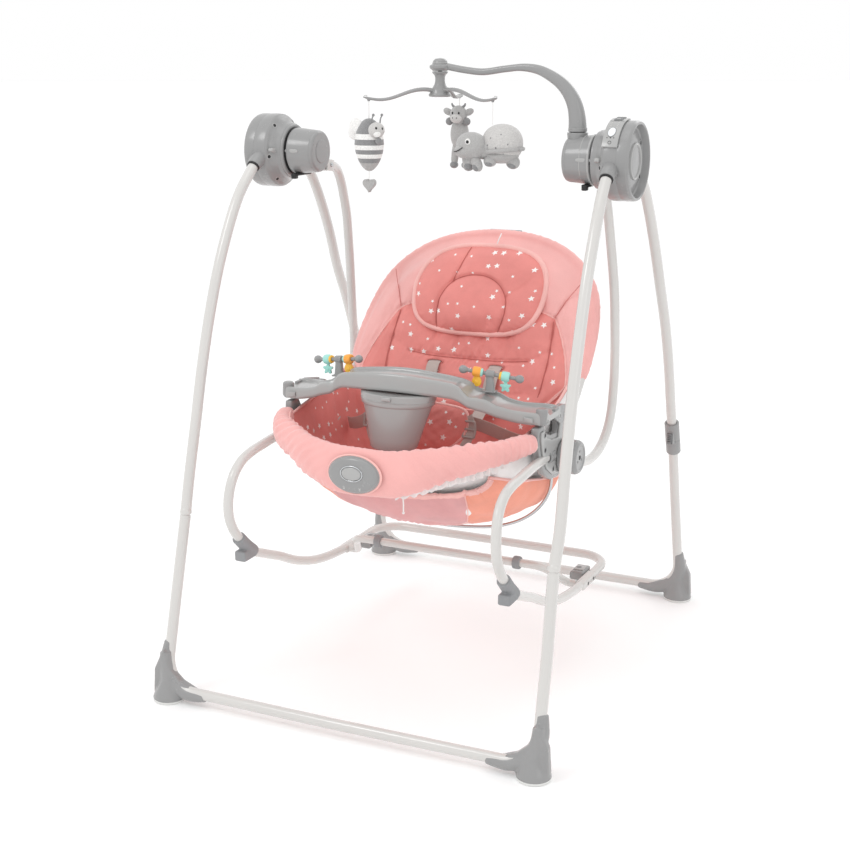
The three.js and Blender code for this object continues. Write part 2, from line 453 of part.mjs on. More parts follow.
// ---- tray ---------------------------------------------------------------------------------------
// [x, front y, rear y, bottom z, top z]
const trayHalf = [[268, -170, -88, 526, 547], [240, -176, -88, 526, 548], [222, -182, -100, 528, 550], [204, -188, -114, 532, 553], [180, -197, -123, 539, 560], [167, -202, -127, 545, 571],
  [139, -213, -133, 554, 572.5], [127, -217, -150, 560, 583], [108, -223, -165, 570, 597], [60, -235, -172, 574, 605], [0, -240, -173, 576, 609]];
const trayRows = [...trayHalf.map(([x, ...r]) => [-x, ...r]), ...trayHalf.slice(0, -1).reverse()];
let tray = solid(loft(trayRows.map(([x, f, b, z0, z1]) => {
  const c = 6;
  return [V(x, f + c, z0), V(x, b - c, z0), V(x, b, z0 + c), V(x, b, z1 - c), V(x, b - c, z1), V(x, f + c, z1), V(x, f, z1 - c), V(x, f, z0 + c)];
})));
for (const s of [1, -1]) {
  const tail = slabX([[-119, 547], [-119, 527], [-89, 512], [-31, 510], [-25, 523], [-31, 537], [-81, 547]], 260.5, 268);
  tray = tray.add(solid(s > 0 ? tail : mirrorX(tail)));
  tray = tray.add(solid(turnZ([[0, 524], [9, 524], [11, 528], [11, 552], [8, 555], [0, 555]], s * 257, -160, 16)));
}
tray = tray.subtract(solid(rodX(238, 280, TRAY_PIV_Y, TRAY_PIV_Z, 4 + GAP, 12))).subtract(solid(rodX(-280, -238, TRAY_PIV_Y, TRAY_PIV_Z, 4 + GAP, 12)));
tray = tray.subtract(solid(boxAt(241, 260.3, -77, -10, 490, 570))).subtract(solid(boxAt(-260.3, -241, -77, -10, 490, 570)));
put('tray', geom(tray), GREY);
const post = loft([[472.5, 40, 33, -229], [474, 45, 37, -229], [552, 67, 48, -211], [556, 71, 50, -210], [572.2, 73, 51, -207]].map(([z, rx, ry, y]) =>
  Array.from({ length: 20 }, (_, k) => V(rx * Math.cos(k / 10 * Math.PI), y + ry * Math.sin(k / 10 * Math.PI), z))));
put('crotch_post', post, GREY);

// play bars: a post on each side of the tray with a slanted cross bar, and two spinners on each
const POST_X = 153, POST_Y = -151, BAR_IN = V(105, -160, 612), BAR_OUT = V(205, -136, 598);
const BAR_MID = BAR_IN.clone().lerp(BAR_OUT, 0.48);
const dirBar = BAR_OUT.clone().sub(BAR_IN).normalize();
let playBar = solid(turnZ([[0, 573.5], [9, 573.5], [9, 577], [6.5, 580], [5, BAR_MID.z + 4], [0, BAR_MID.z + 8]], BAR_MID.x, BAR_MID.y, 14))
  .add(solid(rodAlong(BAR_IN, BAR_OUT, 3.6, 10)));
for (const p of [BAR_IN, BAR_OUT]) { const s = plain(new THREE.SphereGeometry(7.5, 8, 6)); s.translate(p.x, p.y, p.z); playBar = playBar.add(solid(cleaned(s))); }
pair('play_bar', geom(playBar), GREY);
function spinner(centre, tag) {
  const a = centre.clone().addScaledVector(dirBar, -9.5), b = centre.clone().addScaledVector(dirBar, 9.5);
  const body = solid(rodAlong(a, b, 9, 12)).add(solid(tag));
  return geom(body.subtract(solid(rodAlong(BAR_IN, BAR_OUT, 3.6 + GAP + 0.2, 10))));
}
const cIn = BAR_IN.clone().lerp(BAR_MID, 0.56), cOut = BAR_MID.clone().lerp(BAR_OUT, 0.47);
const tagAt = (c, pts) => slabY(pts.map(([x, z]) => [c.x + x, c.z + z]), c.y - 3.5, c.y + 3.5);
pair('drop_spinner', spinner(cIn, tagAt(cIn, [[-4, -4], [4, -4], [9, -16], [8, -22], [0, -27], [-8, -22], [-9, -16]])), YELLOW);
pair('flower_spinner', spinner(cOut, tagAt(cOut, [[-4, -4], [4, -4], [6, -10], [10, -12], [11, -18], [7, -22], [6, -27], [0, -28], [-6, -27], [-7, -22], [-11, -18], [-10, -12], [-6, -10]])), MINT);

// ---- mobile -------------------------------------------------------------------------------------
const ROTOR_Z = 1092;
const mastRoute = smooth([V(265, AXIS_Y, 1027.2), V(263.5, AXIS_Y, 1050), V(259, AXIS_Y, 1071), V(249, AXIS_Y, 1091), V(234, AXIS_Y, 1108), V(213, AXIS_Y, 1122), V(190, AXIS_Y, 1132),
  V(160, AXIS_Y, 1136), V(125, AXIS_Y, 1133), V(85, AXIS_Y, 1128), V(50, AXIS_Y, 1131), V(12, AXIS_Y, 1138)], 15);
const mastRows = mastRoute.map((p, i) => {
  const a = mastRoute[Math.max(0, i - 1)], b = mastRoute[Math.min(mastRoute.length - 1, i + 1)];
  const t = i === 0 ? V(0, 0, 1) : b.clone().sub(a).normalize(), n = V(0, 1, 0), m = t.clone().cross(n);
  const r = 6 + 10 * Math.pow(Math.max(0, 1 - i / 10), 0.9);
  return Array.from({ length: 8 }, (_, k) => p.clone().addScaledVector(m, r * Math.cos(k / 4 * Math.PI)).addScaledVector(n, r * 0.95 * Math.sin(k / 4 * Math.PI)));
});
const dome = turnZ([[0, 1129], [14, 1129], [19, 1133], [19, 1139], [15, 1142], [12, 1148], [0, 1152]], 0, AXIS_Y, 18);
put('mobile_mast', geom(solid(loft(mastRows)).add(solid(dome)).subtract(solid(turnZ([[0, 1120], [4.4, 1120], [4.4, 1138], [0, 1138]], 0, AXIS_Y, 12)))), GREY);
let rotor = solid(turnZ([[0, 1083], [20, 1083], [21, 1087], [16, 1096], [14, 1100], [9, 1112], [10, 1122], [14, 1126], [14, 1128.5], [4, 1128.5], [4, 1136], [0, 1136]], 0, AXIS_Y, 18));
for (const deg of ROTOR_ANGLES) {
  const a = deg * Math.PI / 180, u = V(Math.cos(a), Math.sin(a), 0), w = V(-Math.sin(a), Math.cos(a), 0);
  const rows = [];
  for (let i = 0; i <= 7; i++) {
    const s = i / 7, r = 8 + (ROTOR_R + 10 - 8) * s, z = 1091 + 7 * Math.sin(s * Math.PI * 2 * 0.92 + 0.4) - 6 * s;
    const hw = s > 0.86 ? 5.5 : 5 + 3 * (1 - s), hh = 3.2 + 1.2 * (1 - s), c = V(0, AXIS_Y, z).addScaledVector(u, r);
    rows.push(Array.from({ length: 6 }, (_, k) => c.clone().addScaledVector(w, hw * Math.cos(k / 3 * Math.PI)).add(V(0, 0, hh * Math.sin(k / 3 * Math.PI)))));
  }
  rotor = rotor.add(solid(loft(rows)));
}
put('mobile_rotor', geom(rotor), GREY);

// soft toys, each with its hanging cord, under the arm tips
const tip = (i) => { const a = ROTOR_ANGLES[i] * Math.PI / 180; return V(ROTOR_R * Math.cos(a), AXIS_Y + ROTOR_R * Math.sin(a), 0); };
const TIP_Z = 1076;
function blob(c, r, seg = 8) { const s = plain(new THREE.SphereGeometry(1, seg, Math.max(5, seg - 3))); cleaned(s); s.rotateX(Math.PI / 2); s.scale(r[0], r[1], r[2]); s.translate(c.x, c.y, c.z); return solid(s); }
function cordTo(p, z0) { return solid(turnZ([[0, z0], [1.4, z0], [1.4, TIP_Z], [0, TIP_Z]], p.x, p.y, 6)); }
{
  const p = tip(0);            // striped bee with a heart pendant
  const bee = blob(V(p.x - 1.4, p.y + 1.1, 1000), [29, 27, 50], 10).add(blob(V(p.x + 20, p.y - 12, 1026), [19, 17, 17])).add(blob(V(p.x - 24, p.y + 6, 1024), [14, 8, 15]))
    .add(cordTo(p, 1040)).add(solid(turnZ([[0, 936], [1.4, 936], [1.4, 955], [0, 955]], p.x, p.y, 6))).add(blob(V(p.x, p.y, 930), [13, 6, 14]));
  put('toy_bee', geom(bee), PLUSH);
}
{
  const p = tip(1);            // turtle
  const t = blob(V(p.x + 15.2, p.y + 7.5, 1004), [40, 34, 37], 10).add(blob(V(p.x - 32, p.y - 16, 1000), [33, 26, 28], 10)).add(blob(V(p.x - 40, p.y - 12, 972), [16, 12, 20]))
    .add(blob(V(p.x + 34, p.y + 14, 972), [18, 14, 15])).add(cordTo(p, 1034));
  put('toy_turtle', geom(t), PLUSH_LIGHT);
}
{
  const p = tip(2);            // long-legged horned animal
  const d = blob(V(p.x - 0.7, p.y + 1.6, 1012), [20, 18, 34], 10).add(blob(V(p.x, p.y - 3, 1048), [19, 18, 20], 10)).add(blob(V(p.x - 8, p.y, 972), [10, 10, 26])).add(blob(V(p.x + 12, p.y, 970), [10, 10, 26]))
    .add(cordTo(p, 1064));
  put('toy_giraffe', geom(d), PLUSH);
}

export default group;
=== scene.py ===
import math
import bpy
import numpy as np
from mathutils import Matrix, Vector, noise


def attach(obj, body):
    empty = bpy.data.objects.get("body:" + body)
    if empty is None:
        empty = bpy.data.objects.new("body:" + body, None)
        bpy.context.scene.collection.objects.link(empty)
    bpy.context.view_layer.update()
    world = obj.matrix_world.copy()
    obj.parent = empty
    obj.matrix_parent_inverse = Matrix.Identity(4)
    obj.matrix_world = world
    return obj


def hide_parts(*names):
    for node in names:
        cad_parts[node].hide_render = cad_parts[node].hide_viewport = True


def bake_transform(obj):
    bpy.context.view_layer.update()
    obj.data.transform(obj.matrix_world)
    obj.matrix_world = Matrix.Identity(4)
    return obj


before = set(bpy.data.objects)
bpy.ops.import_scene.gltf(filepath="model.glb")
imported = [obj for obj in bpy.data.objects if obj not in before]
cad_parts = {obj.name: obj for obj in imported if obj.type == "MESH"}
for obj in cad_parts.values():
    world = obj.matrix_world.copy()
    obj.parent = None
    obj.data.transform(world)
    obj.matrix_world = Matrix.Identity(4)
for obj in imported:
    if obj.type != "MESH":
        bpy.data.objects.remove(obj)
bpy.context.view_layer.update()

MM = 0.001
scene = bpy.context.scene


# ------------------------------------------------------------------ camera, light, floor
def stage_scene():
    cam = bpy.data.objects.new("camera", bpy.data.cameras.new("camera"))
    scene.collection.objects.link(cam)
    cam.data.lens, cam.data.sensor_width = 60.8, 36.0
    cam.data.clip_start, cam.data.clip_end = 0.05, 60
    cam.data.dof.use_dof = False
    cam.location = (1.1013, -2.4715, 1.1613)
    d = Vector((-0.0444, 0.0, 0.4546)) - cam.location
    cam.rotation_mode = "QUATERNION"
    cam.rotation_quaternion = d.to_track_quat("-Z", "Y")
    scene.camera = cam

    world = bpy.data.worlds.new("world")
    scene.world = world
    world.use_nodes = True
    bg = world.node_tree.nodes["Background"]
    bg.inputs["Color"].default_value = (1.0, 1.0, 1.0, 1)
    bg.inputs["Strength"].default_value = 1.0
    scene.view_settings.view_transform = "Standard"
    scene.view_settings.look = "None"

    def area(name, loc, aim, size, power, color=(1, 1, 1), sy=None):
        l = bpy.data.lights.new(name, "AREA")
        l.energy, l.size, l.color = power, size, color
        if sy:
            l.shape, l.size_y = "RECTANGLE", sy
        o = bpy.data.objects.new(name, l)
        scene.collection.objects.link(o)
        o.location = loc
        o.rotation_mode = "QUATERNION"
        o.rotation_quaternion = (Vector(aim) - Vector(loc)).to_track_quat("-Z", "Y")

    area("key", (-1.5, -2.3, 3.2), (0, 0, 0.5), 1.1, 20)
    area("fill", (2.6, -1.6, 1.8), (0, 0, 0.6), 1.4, 5)
    area("rim", (0.6, 2.6, 2.6), (0, 0, 0.6), 1.6, 8)
    area("top", (0.0, -0.3, 3.6), (0, 0, 0.5), 1.6, 6)

    me = bpy.data.meshes.new("floor")
    s = 60.0
    me.from_pydata([(-s, -s, 0), (s, -s, 0), (s, s, 0), (-s, s, 0)], [], [(0, 1, 2, 3)])
    floor = bpy.data.objects.new("floor", me)
    scene.collection.objects.link(floor)
    m = bpy.data.materials.new("floor")
    m.use_nodes = True
    b = m.node_tree.nodes["Principled BSDF"]
    b.inputs["Base Color"].default_value = (0.93, 0.93, 0.93, 1)
    b.inputs["Roughness"].default_value = 0.6
    b.inputs["Specular IOR Level"].default_value = 0.1
    b.inputs["Emission Color"].default_value = (1, 1, 1, 1)
    b.inputs["Emission Strength"].default_value = 0.09
    me.materials.append(m)


stage_scene()


# ------------------------------------------------------------------ materials
def srgb(h, k=1.0):
    v = [int(h[i:i + 2], 16) / 255 for i in (0, 2, 4)]
    return tuple(min(1.0, k * (c / 12.92 if c <= 0.04045 else ((c + 0.055) / 1.055) ** 2.4)) for c in v) + (1.0,)


class Nodes:
    """A short way to write node trees."""

    def __init__(self, name):
        self.mat = bpy.data.materials.new(name)
        self.mat.use_nodes = True
        self.t = self.mat.node_tree
        self.b = self.t.nodes["Principled BSDF"]
        self.coord = None

    def new(self, kind, **props):
        n = self.t.nodes.new(kind)
        for k, v in props.items():
            setattr(n, k, v)
        return n

    def link(self, a, b):
        self.t.links.new(a, b)

    def feed(self, node, index, v):
        if hasattr(v, "is_output"):
            self.link(v, node.inputs[index])
        else:
            node.inputs[index].default_value = v

    def math(self, op, a, b=0.0, c=0.0, clamp=False):
        n = self.new("ShaderNodeMath", operation=op, use_clamp=clamp)
        for i, v in enumerate((a, b, c)):
            if i < len(n.inputs):
                self.feed(n, i, v)
        return n.outputs[0]

    def vmath(self, op, a, b=(0, 0, 0)):
        n = self.new("ShaderNodeVectorMath", operation=op)
        self.feed(n, 0, a)
        self.feed(n, 1, b)
        return n.outputs[0]

    def obj(self):
        if self.coord is None:
            self.coord = self.new("ShaderNodeTexCoord")
        return self.coord.outputs["Object"]

    def uv(self):
        if self.coord is None:
            self.coord = self.new("ShaderNodeTexCoord")
        return self.coord.outputs["UV"]

    def noise(self, scale, detail=3.0, rough=0.55, vec=None):
        n = self.new("ShaderNodeTexNoise")
        self.link(vec if vec is not None else self.obj(), n.inputs["Vector"])
        n.inputs["Scale"].default_value = scale
        n.inputs["Detail"].default_value = detail
        n.inputs["Roughness"].default_value = rough
        return n.outputs["Fac"]

    def spread(self, v, lo, hi, a=0.3, b=0.7):
        n = self.new("ShaderNodeMapRange")
        self.feed(n, 0, v)
        for i, x in ((1, a), (2, b), (3, lo), (4, hi)):
            n.inputs[i].default_value = x
        return n.outputs[0]

    def mix(self, fac, a, b):
        n = self.new("ShaderNodeMix", data_type="RGBA")
        self.feed(n, 0, fac)
        for i, v in ((6, a), (7, b)):
            self.feed(n, i, v)
        return n.outputs[2]

    def bump(self, height, strength, distance, under=None):
        n = self.new("ShaderNodeBump")
        n.inputs["Strength"].default_value = strength
        n.inputs["Distance"].default_value = distance
        self.link(height, n.inputs["Height"])
        if under is not None:
            self.link(under, n.inputs["Normal"])
        return n.outputs["Normal"]


def hard(name, hexcol, rough, metal=0.0, coat=0.0, grain=900.0, grain_d=0.00004, vary=0.05, k=1.0, spec=0.5):
    """Moulded plastic or painted metal: fine surface grain, slow tone change, handling marks in the gloss."""
    n = Nodes(name)
    c = srgb(hexcol, k)
    tone = n.noise(6.0, 3)
    n.link(n.mix(n.spread(tone, 0, 1), tuple(x * (1 - vary) for x in c[:3]) + (1,), tuple(min(1, x * (1 + vary)) for x in c[:3]) + (1,)), n.b.inputs["Base Color"])
    n.link(n.spread(n.noise(28.0, 5, 0.65), rough * 0.85, rough * 1.2), n.b.inputs["Roughness"])
    n.b.inputs["Metallic"].default_value = metal
    n.b.inputs["Coat Weight"].default_value = coat
    n.b.inputs["Coat Roughness"].default_value = 0.12
    n.b.inputs["Specular IOR Level"].default_value = spec
    fine = n.bump(n.noise(grain, 2), 0.35, grain_d)
    n.link(n.bump(n.noise(35.0, 2), 0.25, 0.00012, fine), n.b.inputs["Normal"])
    return n.mat


def stars(n, cell=0.0345, big=0.0064, small=0.0036):
    """A scatter of five-pointed stars in the cloth's own coordinates (UV in metres). Gives a 0..1 mask."""
    v = n.new("ShaderNodeTexVoronoi", voronoi_dimensions="2D", feature="F1")
    n.link(n.uv(), v.inputs["Vector"])
    v.inputs["Scale"].default_value = 1 / cell
    v.inputs["Randomness"].default_value = 0.72
    d = n.vmath("SUBTRACT", n.vmath("SCALE", n.uv()), v.outputs["Position"])
    src = d.node.inputs[0].links[0].from_node
    src.inputs["Scale"].default_value = 1.0
    # Position comes back in the texture's own input space
    sep = n.new("ShaderNodeSeparateXYZ")
    n.link(d, sep.inputs[0])
    x, y = sep.outputs[0], sep.outputs[1]
    rgb = n.new("ShaderNodeSeparateColor")
    n.link(v.outputs["Color"], rgb.inputs[0])
    r = n.math("SQRT", n.math("ADD", n.math("MULTIPLY", x, x), n.math("MULTIPLY", y, y)))
    ang = n.math("ADD", n.math("ARCTAN2", y, x), n.math("MULTIPLY", rgb.outputs[0], 6.283))
    al = math.pi / 5
    th = n.math("PINGPONG", ang, al)
    q = 0.46
    den = n.math("ADD", n.math("SINE", th), n.math("MULTIPLY", n.math("SINE", n.math("SUBTRACT", al, th)), q))
    edge = n.math("DIVIDE", q * math.sin(al), den)
    size = n.math("ADD", n.math("MULTIPLY", n.math("GREATER_THAN", rgb.outputs[1], 0.55), big - small), small)
    size = n.math("MULTIPLY", size, n.math("GREATER_THAN", rgb.outputs[2], 0.12))
    return n.math("MULTIPLY_ADD", n.math("SUBTRACT", n.math("MULTIPLY", edge, size), r), 1 / 0.0006, 0.5, clamp=True)


def cloth(name, hexcol, pattern=False, sheen=0.35, weave=0.0011, depth=0.00018, rough=0.9, mott=0.06, k=1.0, velour=False):
    """Woven cotton (with printed stars) or short velour, with a thread weave, slubs and slow tone change."""
    n = Nodes(name)
    c = srgb(hexcol, k)
    dark, light = tuple(x * (1 - mott * 1.5) for x in c[:3]) + (1,), tuple(min(1, x * (1 + mott)) for x in c[:3]) + (1,)
    col = n.mix(n.spread(n.noise(14.0, 4, 0.6), 0, 1), dark, light)
    sep = n.new("ShaderNodeSeparateXYZ")
    n.link(n.uv(), sep.inputs[0])
    w = 2 * math.pi / weave
    su = n.math("SINE", n.math("MULTIPLY", sep.outputs[0], w))
    sv = n.math("SINE", n.math("MULTIPLY", sep.outputs[1], w))
    thread = n.math("MULTIPLY_ADD", n.math("MULTIPLY", su, sv), 0.5, 0.5)
    col = n.mix(n.spread(n.noise(420.0, 2), 0.0, 0.16), col, tuple(x * 0.8 for x in c[:3]) + (1,))
    if pattern:
        col = n.mix(stars(n), col, (0.93, 0.90, 0.88, 1))
    n.link(col, n.b.inputs["Base Color"])
    n.link(n.spread(n.noise(60.0, 3), rough - 0.08, min(1, rough + 0.06)), n.b.inputs["Roughness"])
    n.b.inputs["Sheen Weight"].default_value = sheen
    n.b.inputs["Sheen Roughness"].default_value = 0.45
    n.b.inputs["Specular IOR Level"].default_value = 0.12
    b1 = n.bump(thread, 0.4, depth)
    if velour:
        b1 = n.bump(n.noise(650.0, 3, 0.7), 0.5, 0.00035, b1)
    b2 = n.bump(n.noise(75.0, 4, 0.6), 0.35, 0.0012, b1)
    n.link(b2, n.b.inputs["Normal"])
    return n.mat


def plush(name, hexcol, k=1.0):
    n = Nodes(name)
    c = srgb(hexcol, k)
    col = n.mix(n.spread(n.noise(500.0, 3, 0.7), 0, 1), tuple(x * 0.82 for x in c[:3]) + (1,), tuple(min(1, x * 1.1) for x in c[:3]) + (1,))
    n.link(col, n.b.inputs["Base Color"])
    n.link(n.spread(n.noise(90.0, 3), 0.85, 1.0), n.b.inputs["Roughness"])
    n.b.inputs["Sheen Weight"].default_value = 0.5
    n.b.inputs["Sheen Roughness"].default_value = 0.5
    n.b.inputs["Specular IOR Level"].default_value = 0.1
    b1 = n.bump(n.noise(900.0, 3, 0.75), 0.8, 0.0009)
    n.link(n.bump(n.noise(160.0, 3), 0.5, 0.0016, b1), n.b.inputs["Normal"])
    return n.mat


M = {
    "tube": hard("paint_white", "cfcdca", 0.22, 0.0, 0.55, grain=500, vary=0.015, spec=0.6),
    "grey": hard("grey_plastic", "929292", 0.24, coat=0.25, vary=0.03),
    "grey3": hard("tray_plastic", "a2a2a1", 0.2, coat=0.45, vary=0.02),
    "grey2": hard("grey_plastic_light", "a9a9a8", 0.22, coat=0.3, vary=0.03),
    "dark": hard("grey_plastic_dark", "7c7d7e", 0.45, vary=0.05),
    "black": hard("black_plastic", "1d1d1e", 0.5, vary=0.1),
    "rubber": hard("rubber_grey", "929395", 0.75, grain=300, grain_d=0.00015, vary=0.06, spec=0.3),
    "pale": hard("pale_rubber", "dcdcda", 0.6, vary=0.03),
    "steel": hard("bright_steel", "c4c6c8", 0.16, 1.0, vary=0.03),
    "yellow": hard("yellow_plastic", "f8bf3f", 0.28, coat=0.3),
    "orange": hard("orange_plastic", "f7a63c", 0.28, coat=0.3),
    "mint": hard("mint_plastic", "9fdcd2", 0.28, coat=0.3),
    "display": hard("display", "e9edf0", 0.1, coat=0.6, vary=0.02),
    "pink": cloth("pink_velour", "f1b4b0", sheen=0.5, velour=True, weave=0.0015, mott=0.03),
    "coral": cloth("coral_stars", "e6918b", pattern=True, sheen=0.2),
    "coral_plain": cloth("coral_plain", "e88f86", sheen=0.2),
    # the sling's side and centre panel colours carry painted light: the coral sides are lightened as lit, the pale pink
    # centre is darkened as shaded
    "coral_painted_light": cloth("coral_panel_painted_light", "f2a08a", sheen=0.2),
    "pale_pink_painted_shade": cloth("pale_pink_panel_painted_shade", "dfa3a3", sheen=0.25),
    "piping": cloth("piping", "f3bcb6", sheen=0.4, weave=0.0012),
    "seam": cloth("seam_thread", "cf817c", sheen=0.1, weave=0.0008),
    "seam_dark": cloth("seam_shadow", "c4736d", sheen=0.0, weave=0.0008),
    "web": cloth("webbing", "bdb1ab", sheen=0.15, weave=0.0022, depth=0.0005, rough=0.8),
    "lining": cloth("white_lining", "efeceb", sheen=0.2, weave=0.001),
    "plush": plush("plush_grey", "b1b0af"),
    "plush_dark": plush("plush_dark", "8d8d8e"),
    "plush_light": plush("plush_light", "cbc9c7"),
    "plush_white": plush("plush_white", "f1f0ee"),
    "thread": cloth("thread_white", "f4f3f1", sheen=0.1, weave=0.0006),
}


# ------------------------------------------------------------------ mesh helpers (millimetres in, metres out)
def arr(*p):
    return np.array(p, float)


def new_mesh(name, verts, faces, mats, index=None, uvs=None, sharp=38):
    me = bpy.data.meshes.new(name)
    me.from_pydata((np.asarray(verts, float) * MM).tolist(), [], [tuple(int(i) for i in f) for f in faces])
    for m in (mats if isinstance(mats, (list, tuple)) else [mats]):
        me.materials.append(M[m] if isinstance(m, str) else m)
    if index is not None:
        me.polygons.foreach_set("material_index", np.asarray(index, dtype=np.int32))
    if uvs is not None:
        layer = me.uv_layers.new(name="UVMap")
        loops = np.zeros(len(me.loops), dtype=np.int64)
        me.loops.foreach_get("vertex_index", loops)
        layer.data.foreach_set("uv", (np.asarray(uvs, float)[loops] * MM).astype(np.float32).ravel())
    me.update()
    me.shade_smooth()
    if sharp:
        me.set_sharp_from_angle(angle=math.radians(sharp))
    o = bpy.data.objects.new(name, me)
    scene.collection.objects.link(o)
    return o


def settle(o):
    """Replaces the mesh with what its modifiers make."""
    dg = bpy.context.evaluated_depsgraph_get()
    me = bpy.data.meshes.new_from_object(o.evaluated_get(dg), preserve_all_data_layers=True, depsgraph=dg)
    o.modifiers.clear()
    o.data = me
    return o


def join(name, objs):
    objs = [o for o in objs if o is not None]
    for o in bpy.context.selected_objects:
        o.select_set(False)
    for o in objs:
        o.select_set(True)
    bpy.context.view_layer.objects.active = objs[0]
    if len(objs) > 1:
        bpy.ops.object.join()
    objs[0].name = name
    objs[0].data.name = name
    return objs[0]


def mirrored(o, name):
    me = o.data.copy()
    me.transform(Matrix.Scale(-1, 4, (1, 0, 0)))
    me.flip_normals()
    m = bpy.data.objects.new(name, me)
    scene.collection.objects.link(m)
    return m


def done(o, body, slot, *nodes):
    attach(o, body)
    if nodes:
        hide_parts(*nodes)
    return o


def both(o, base, body, slot, *bases):
    """o is the +X piece; its mirror image is made, and both ride."""
    l = mirrored(o, base + "_left_v")
    o.name = base + "_right_v"
    bodies = (body, body) if not body.endswith("*") else (body[:-1] + "right", body[:-1] + "left")
    done(o, bodies[0], slot, *[b + "_right" for b in bases])
    done(l, bodies[1], slot, *[b + "_left" for b in bases])
    return o, l


def catmull(P, n):
    P = [np.array(p, float) for p in P]
    L, out = len(P), []
    for s in range(n + 1):
        p = (L - 1) * s / n
        i = min(int(math.floor(p + 1e-9)), L - 2)
        w = p - i
        p0 = P[i - 1] if i > 0 else 2 * P[0] - P[1]
        p1, p2 = P[i], P[i + 1]
        p3 = P[i + 2] if i + 2 < L else 2 * P[-1] - P[-2]
        a, b, c = (max(np.linalg.norm(q) ** 0.5, 1e-6) for q in (p1 - p0, p2 - p1, p3 - p2))
        t1 = ((p1 - p0) / a - (p2 - p0) / (a + b) + (p2 - p1) / b) * b
        t2 = ((p2 - p1) / b - (p3 - p1) / (b + c) + (p3 - p2) / c) * b
        out.append(p1 + t1 * w + (-3 * p1 + 3 * p2 - 2 * t1 - t2) * w * w + (2 * p1 - 2 * p2 + t1 + t2) * w ** 3)
    return np.array(out)


def bends(P, radius, step=4.0):
    P = [np.array(p, float) for p in P]
    out = [P[0]]
    for i in range(1, len(P) - 1):
        p = P[i]
        a = (P[i - 1] - p) / np.linalg.norm(P[i - 1] - p)
        b = (P[i + 1] - p) / np.linalg.norm(P[i + 1] - p)
        turn = math.pi - math.acos(max(-1, min(1, float(a @ b))))
        if turn < 0.02:
            out.append(p)
            continue
        R = radius[i]
        cut, bis = R * math.tan(turn / 2), (a + b) / np.linalg.norm(a + b)
        c = p + bis * R / math.cos(turn / 2)
        s, e = p + a * cut - c, p + b * cut - c
        n = max(2, round(math.degrees(turn) / step))
        for k in range(n + 1):
            w = k / n
            out.append(c + s * math.sin((1 - w) * turn) / math.sin(turn) + e * math.sin(w * turn) / math.sin(turn))
    out.append(P[-1])
    return np.array(out)


def mirror_route(half):
    """half starts at the +X end and ends on the middle plane."""
    half = np.asarray(half, float)
    keep = half[np.abs(half[:, 0]) > 1e-6]
    left = half * arr(-1, 1, 1)
    mid = half[np.abs(half[:, 0]) <= 1e-6]
    return np.vstack([keep * arr(-1, 1, 1), mid[:1], keep[::-1]]) if len(mid) else np.vstack([left, half[::-1]])


def dense(P, step):
    """Points along the polyline no further apart than step."""
    out = [P[0]]
    for a, b in zip(P[:-1], P[1:]):
        n = max(1, int(math.ceil(np.linalg.norm(b - a) / step)))
        out += [a + (b - a) * k / n for k in range(1, n + 1)]
    return np.array(out)


def frames(P):
    """Tangents and a turning-free pair of normals along the route."""
    P = np.asarray(P, float)
    T = np.zeros_like(P)
    T[1:-1] = P[2:] - P[:-2]
    T[0], T[-1] = P[1] - P[0], P[-1] - P[-2]
    T /= np.linalg.norm(T, axis=1)[:, None]
    u = np.cross(T[0], arr(0, 0, 1) if abs(T[0][2]) < 0.9 else arr(0, 1, 0))
    u /= np.linalg.norm(u)
    U = [u]
    for i in range(1, len(P)):
        u = U[-1] - T[i] * (U[-1] @ T[i])
        U.append(u / np.linalg.norm(u))
    U = np.array(U)
    return T, U, np.cross(T, U)


def tube(name, P, r, mat="tube", sides=20, closed=False, flat=None, cap=True):
    """A round tube along P. r is one radius or one per point; flat scales it along the two normals."""
    P = np.asarray(P, float)
    n = len(P)
    r = np.full(n, float(r)) if np.isscalar(r) else np.asarray(r, float)
    T, U, W = frames(P)
    if closed:
        T = np.roll(P, -1, 0) - np.roll(P, 1, 0)
        T /= np.linalg.norm(T, axis=1)[:, None]
        ref = np.tile(arr(0, 1, 0), (n, 1))
        bad = np.abs((T * ref).sum(1)) > 0.9
        ref[bad] = arr(0, 0, 1)
        U = np.cross(T, ref)
        U /= np.linalg.norm(U, axis=1)[:, None]
        W = np.cross(T, U)
    a = np.linspace(0, 2 * math.pi, sides, endpoint=False)
    fx, fy = flat or (1, 1)
    V = P[:, None] + r[:, None, None] * (fx * np.cos(a)[None, :, None] * U[:, None] + fy * np.sin(a)[None, :, None] * W[:, None])
    verts = V.reshape(-1, 3).tolist()
    L = np.concatenate([[0], np.cumsum(np.linalg.norm(np.diff(P, axis=0), axis=1))])
    uv = [(2 * math.pi * r[i] * k / sides, L[i]) for i in range(n) for k in range(sides)]
    F = []
    last = n if closed else n - 1
    for i in range(last):
        j = (i + 1) % n
        for k in range(sides):
            k2 = (k + 1) % sides
            F.append((i * sides + k, i * sides + k2, j * sides + k2, j * sides + k))
    if not closed and cap:
        for i, s in ((0, -1), (n - 1, 1)):
            base = len(verts)
            e = min(1.2, r[i] * 0.2)
            ring = P[i] + s * T[i] * e + (r[i] - e) * (fx * np.cos(a)[:, None] * U[i] + fy * np.sin(a)[:, None] * W[i])
            verts += ring.tolist()
            uv += [(2 * math.pi * r[i] * k / sides, L[i]) for k in range(sides)]
            c = len(verts)
            verts.append((P[i] + s * T[i] * e).tolist())
            uv.append((0, L[i]))
            for k in range(sides):
                k2 = (k + 1) % sides
                q = (i * sides + k, base + k, base + k2, i * sides + k2)
                F.append(q if s < 0 else q[::-1])
                F.append((base + k, c, base + k2) if s < 0 else (base + k2, c, base + k))
    o = new_mesh(name, verts, F, mat, uvs=uv)
    fix_normals(o)
    return o


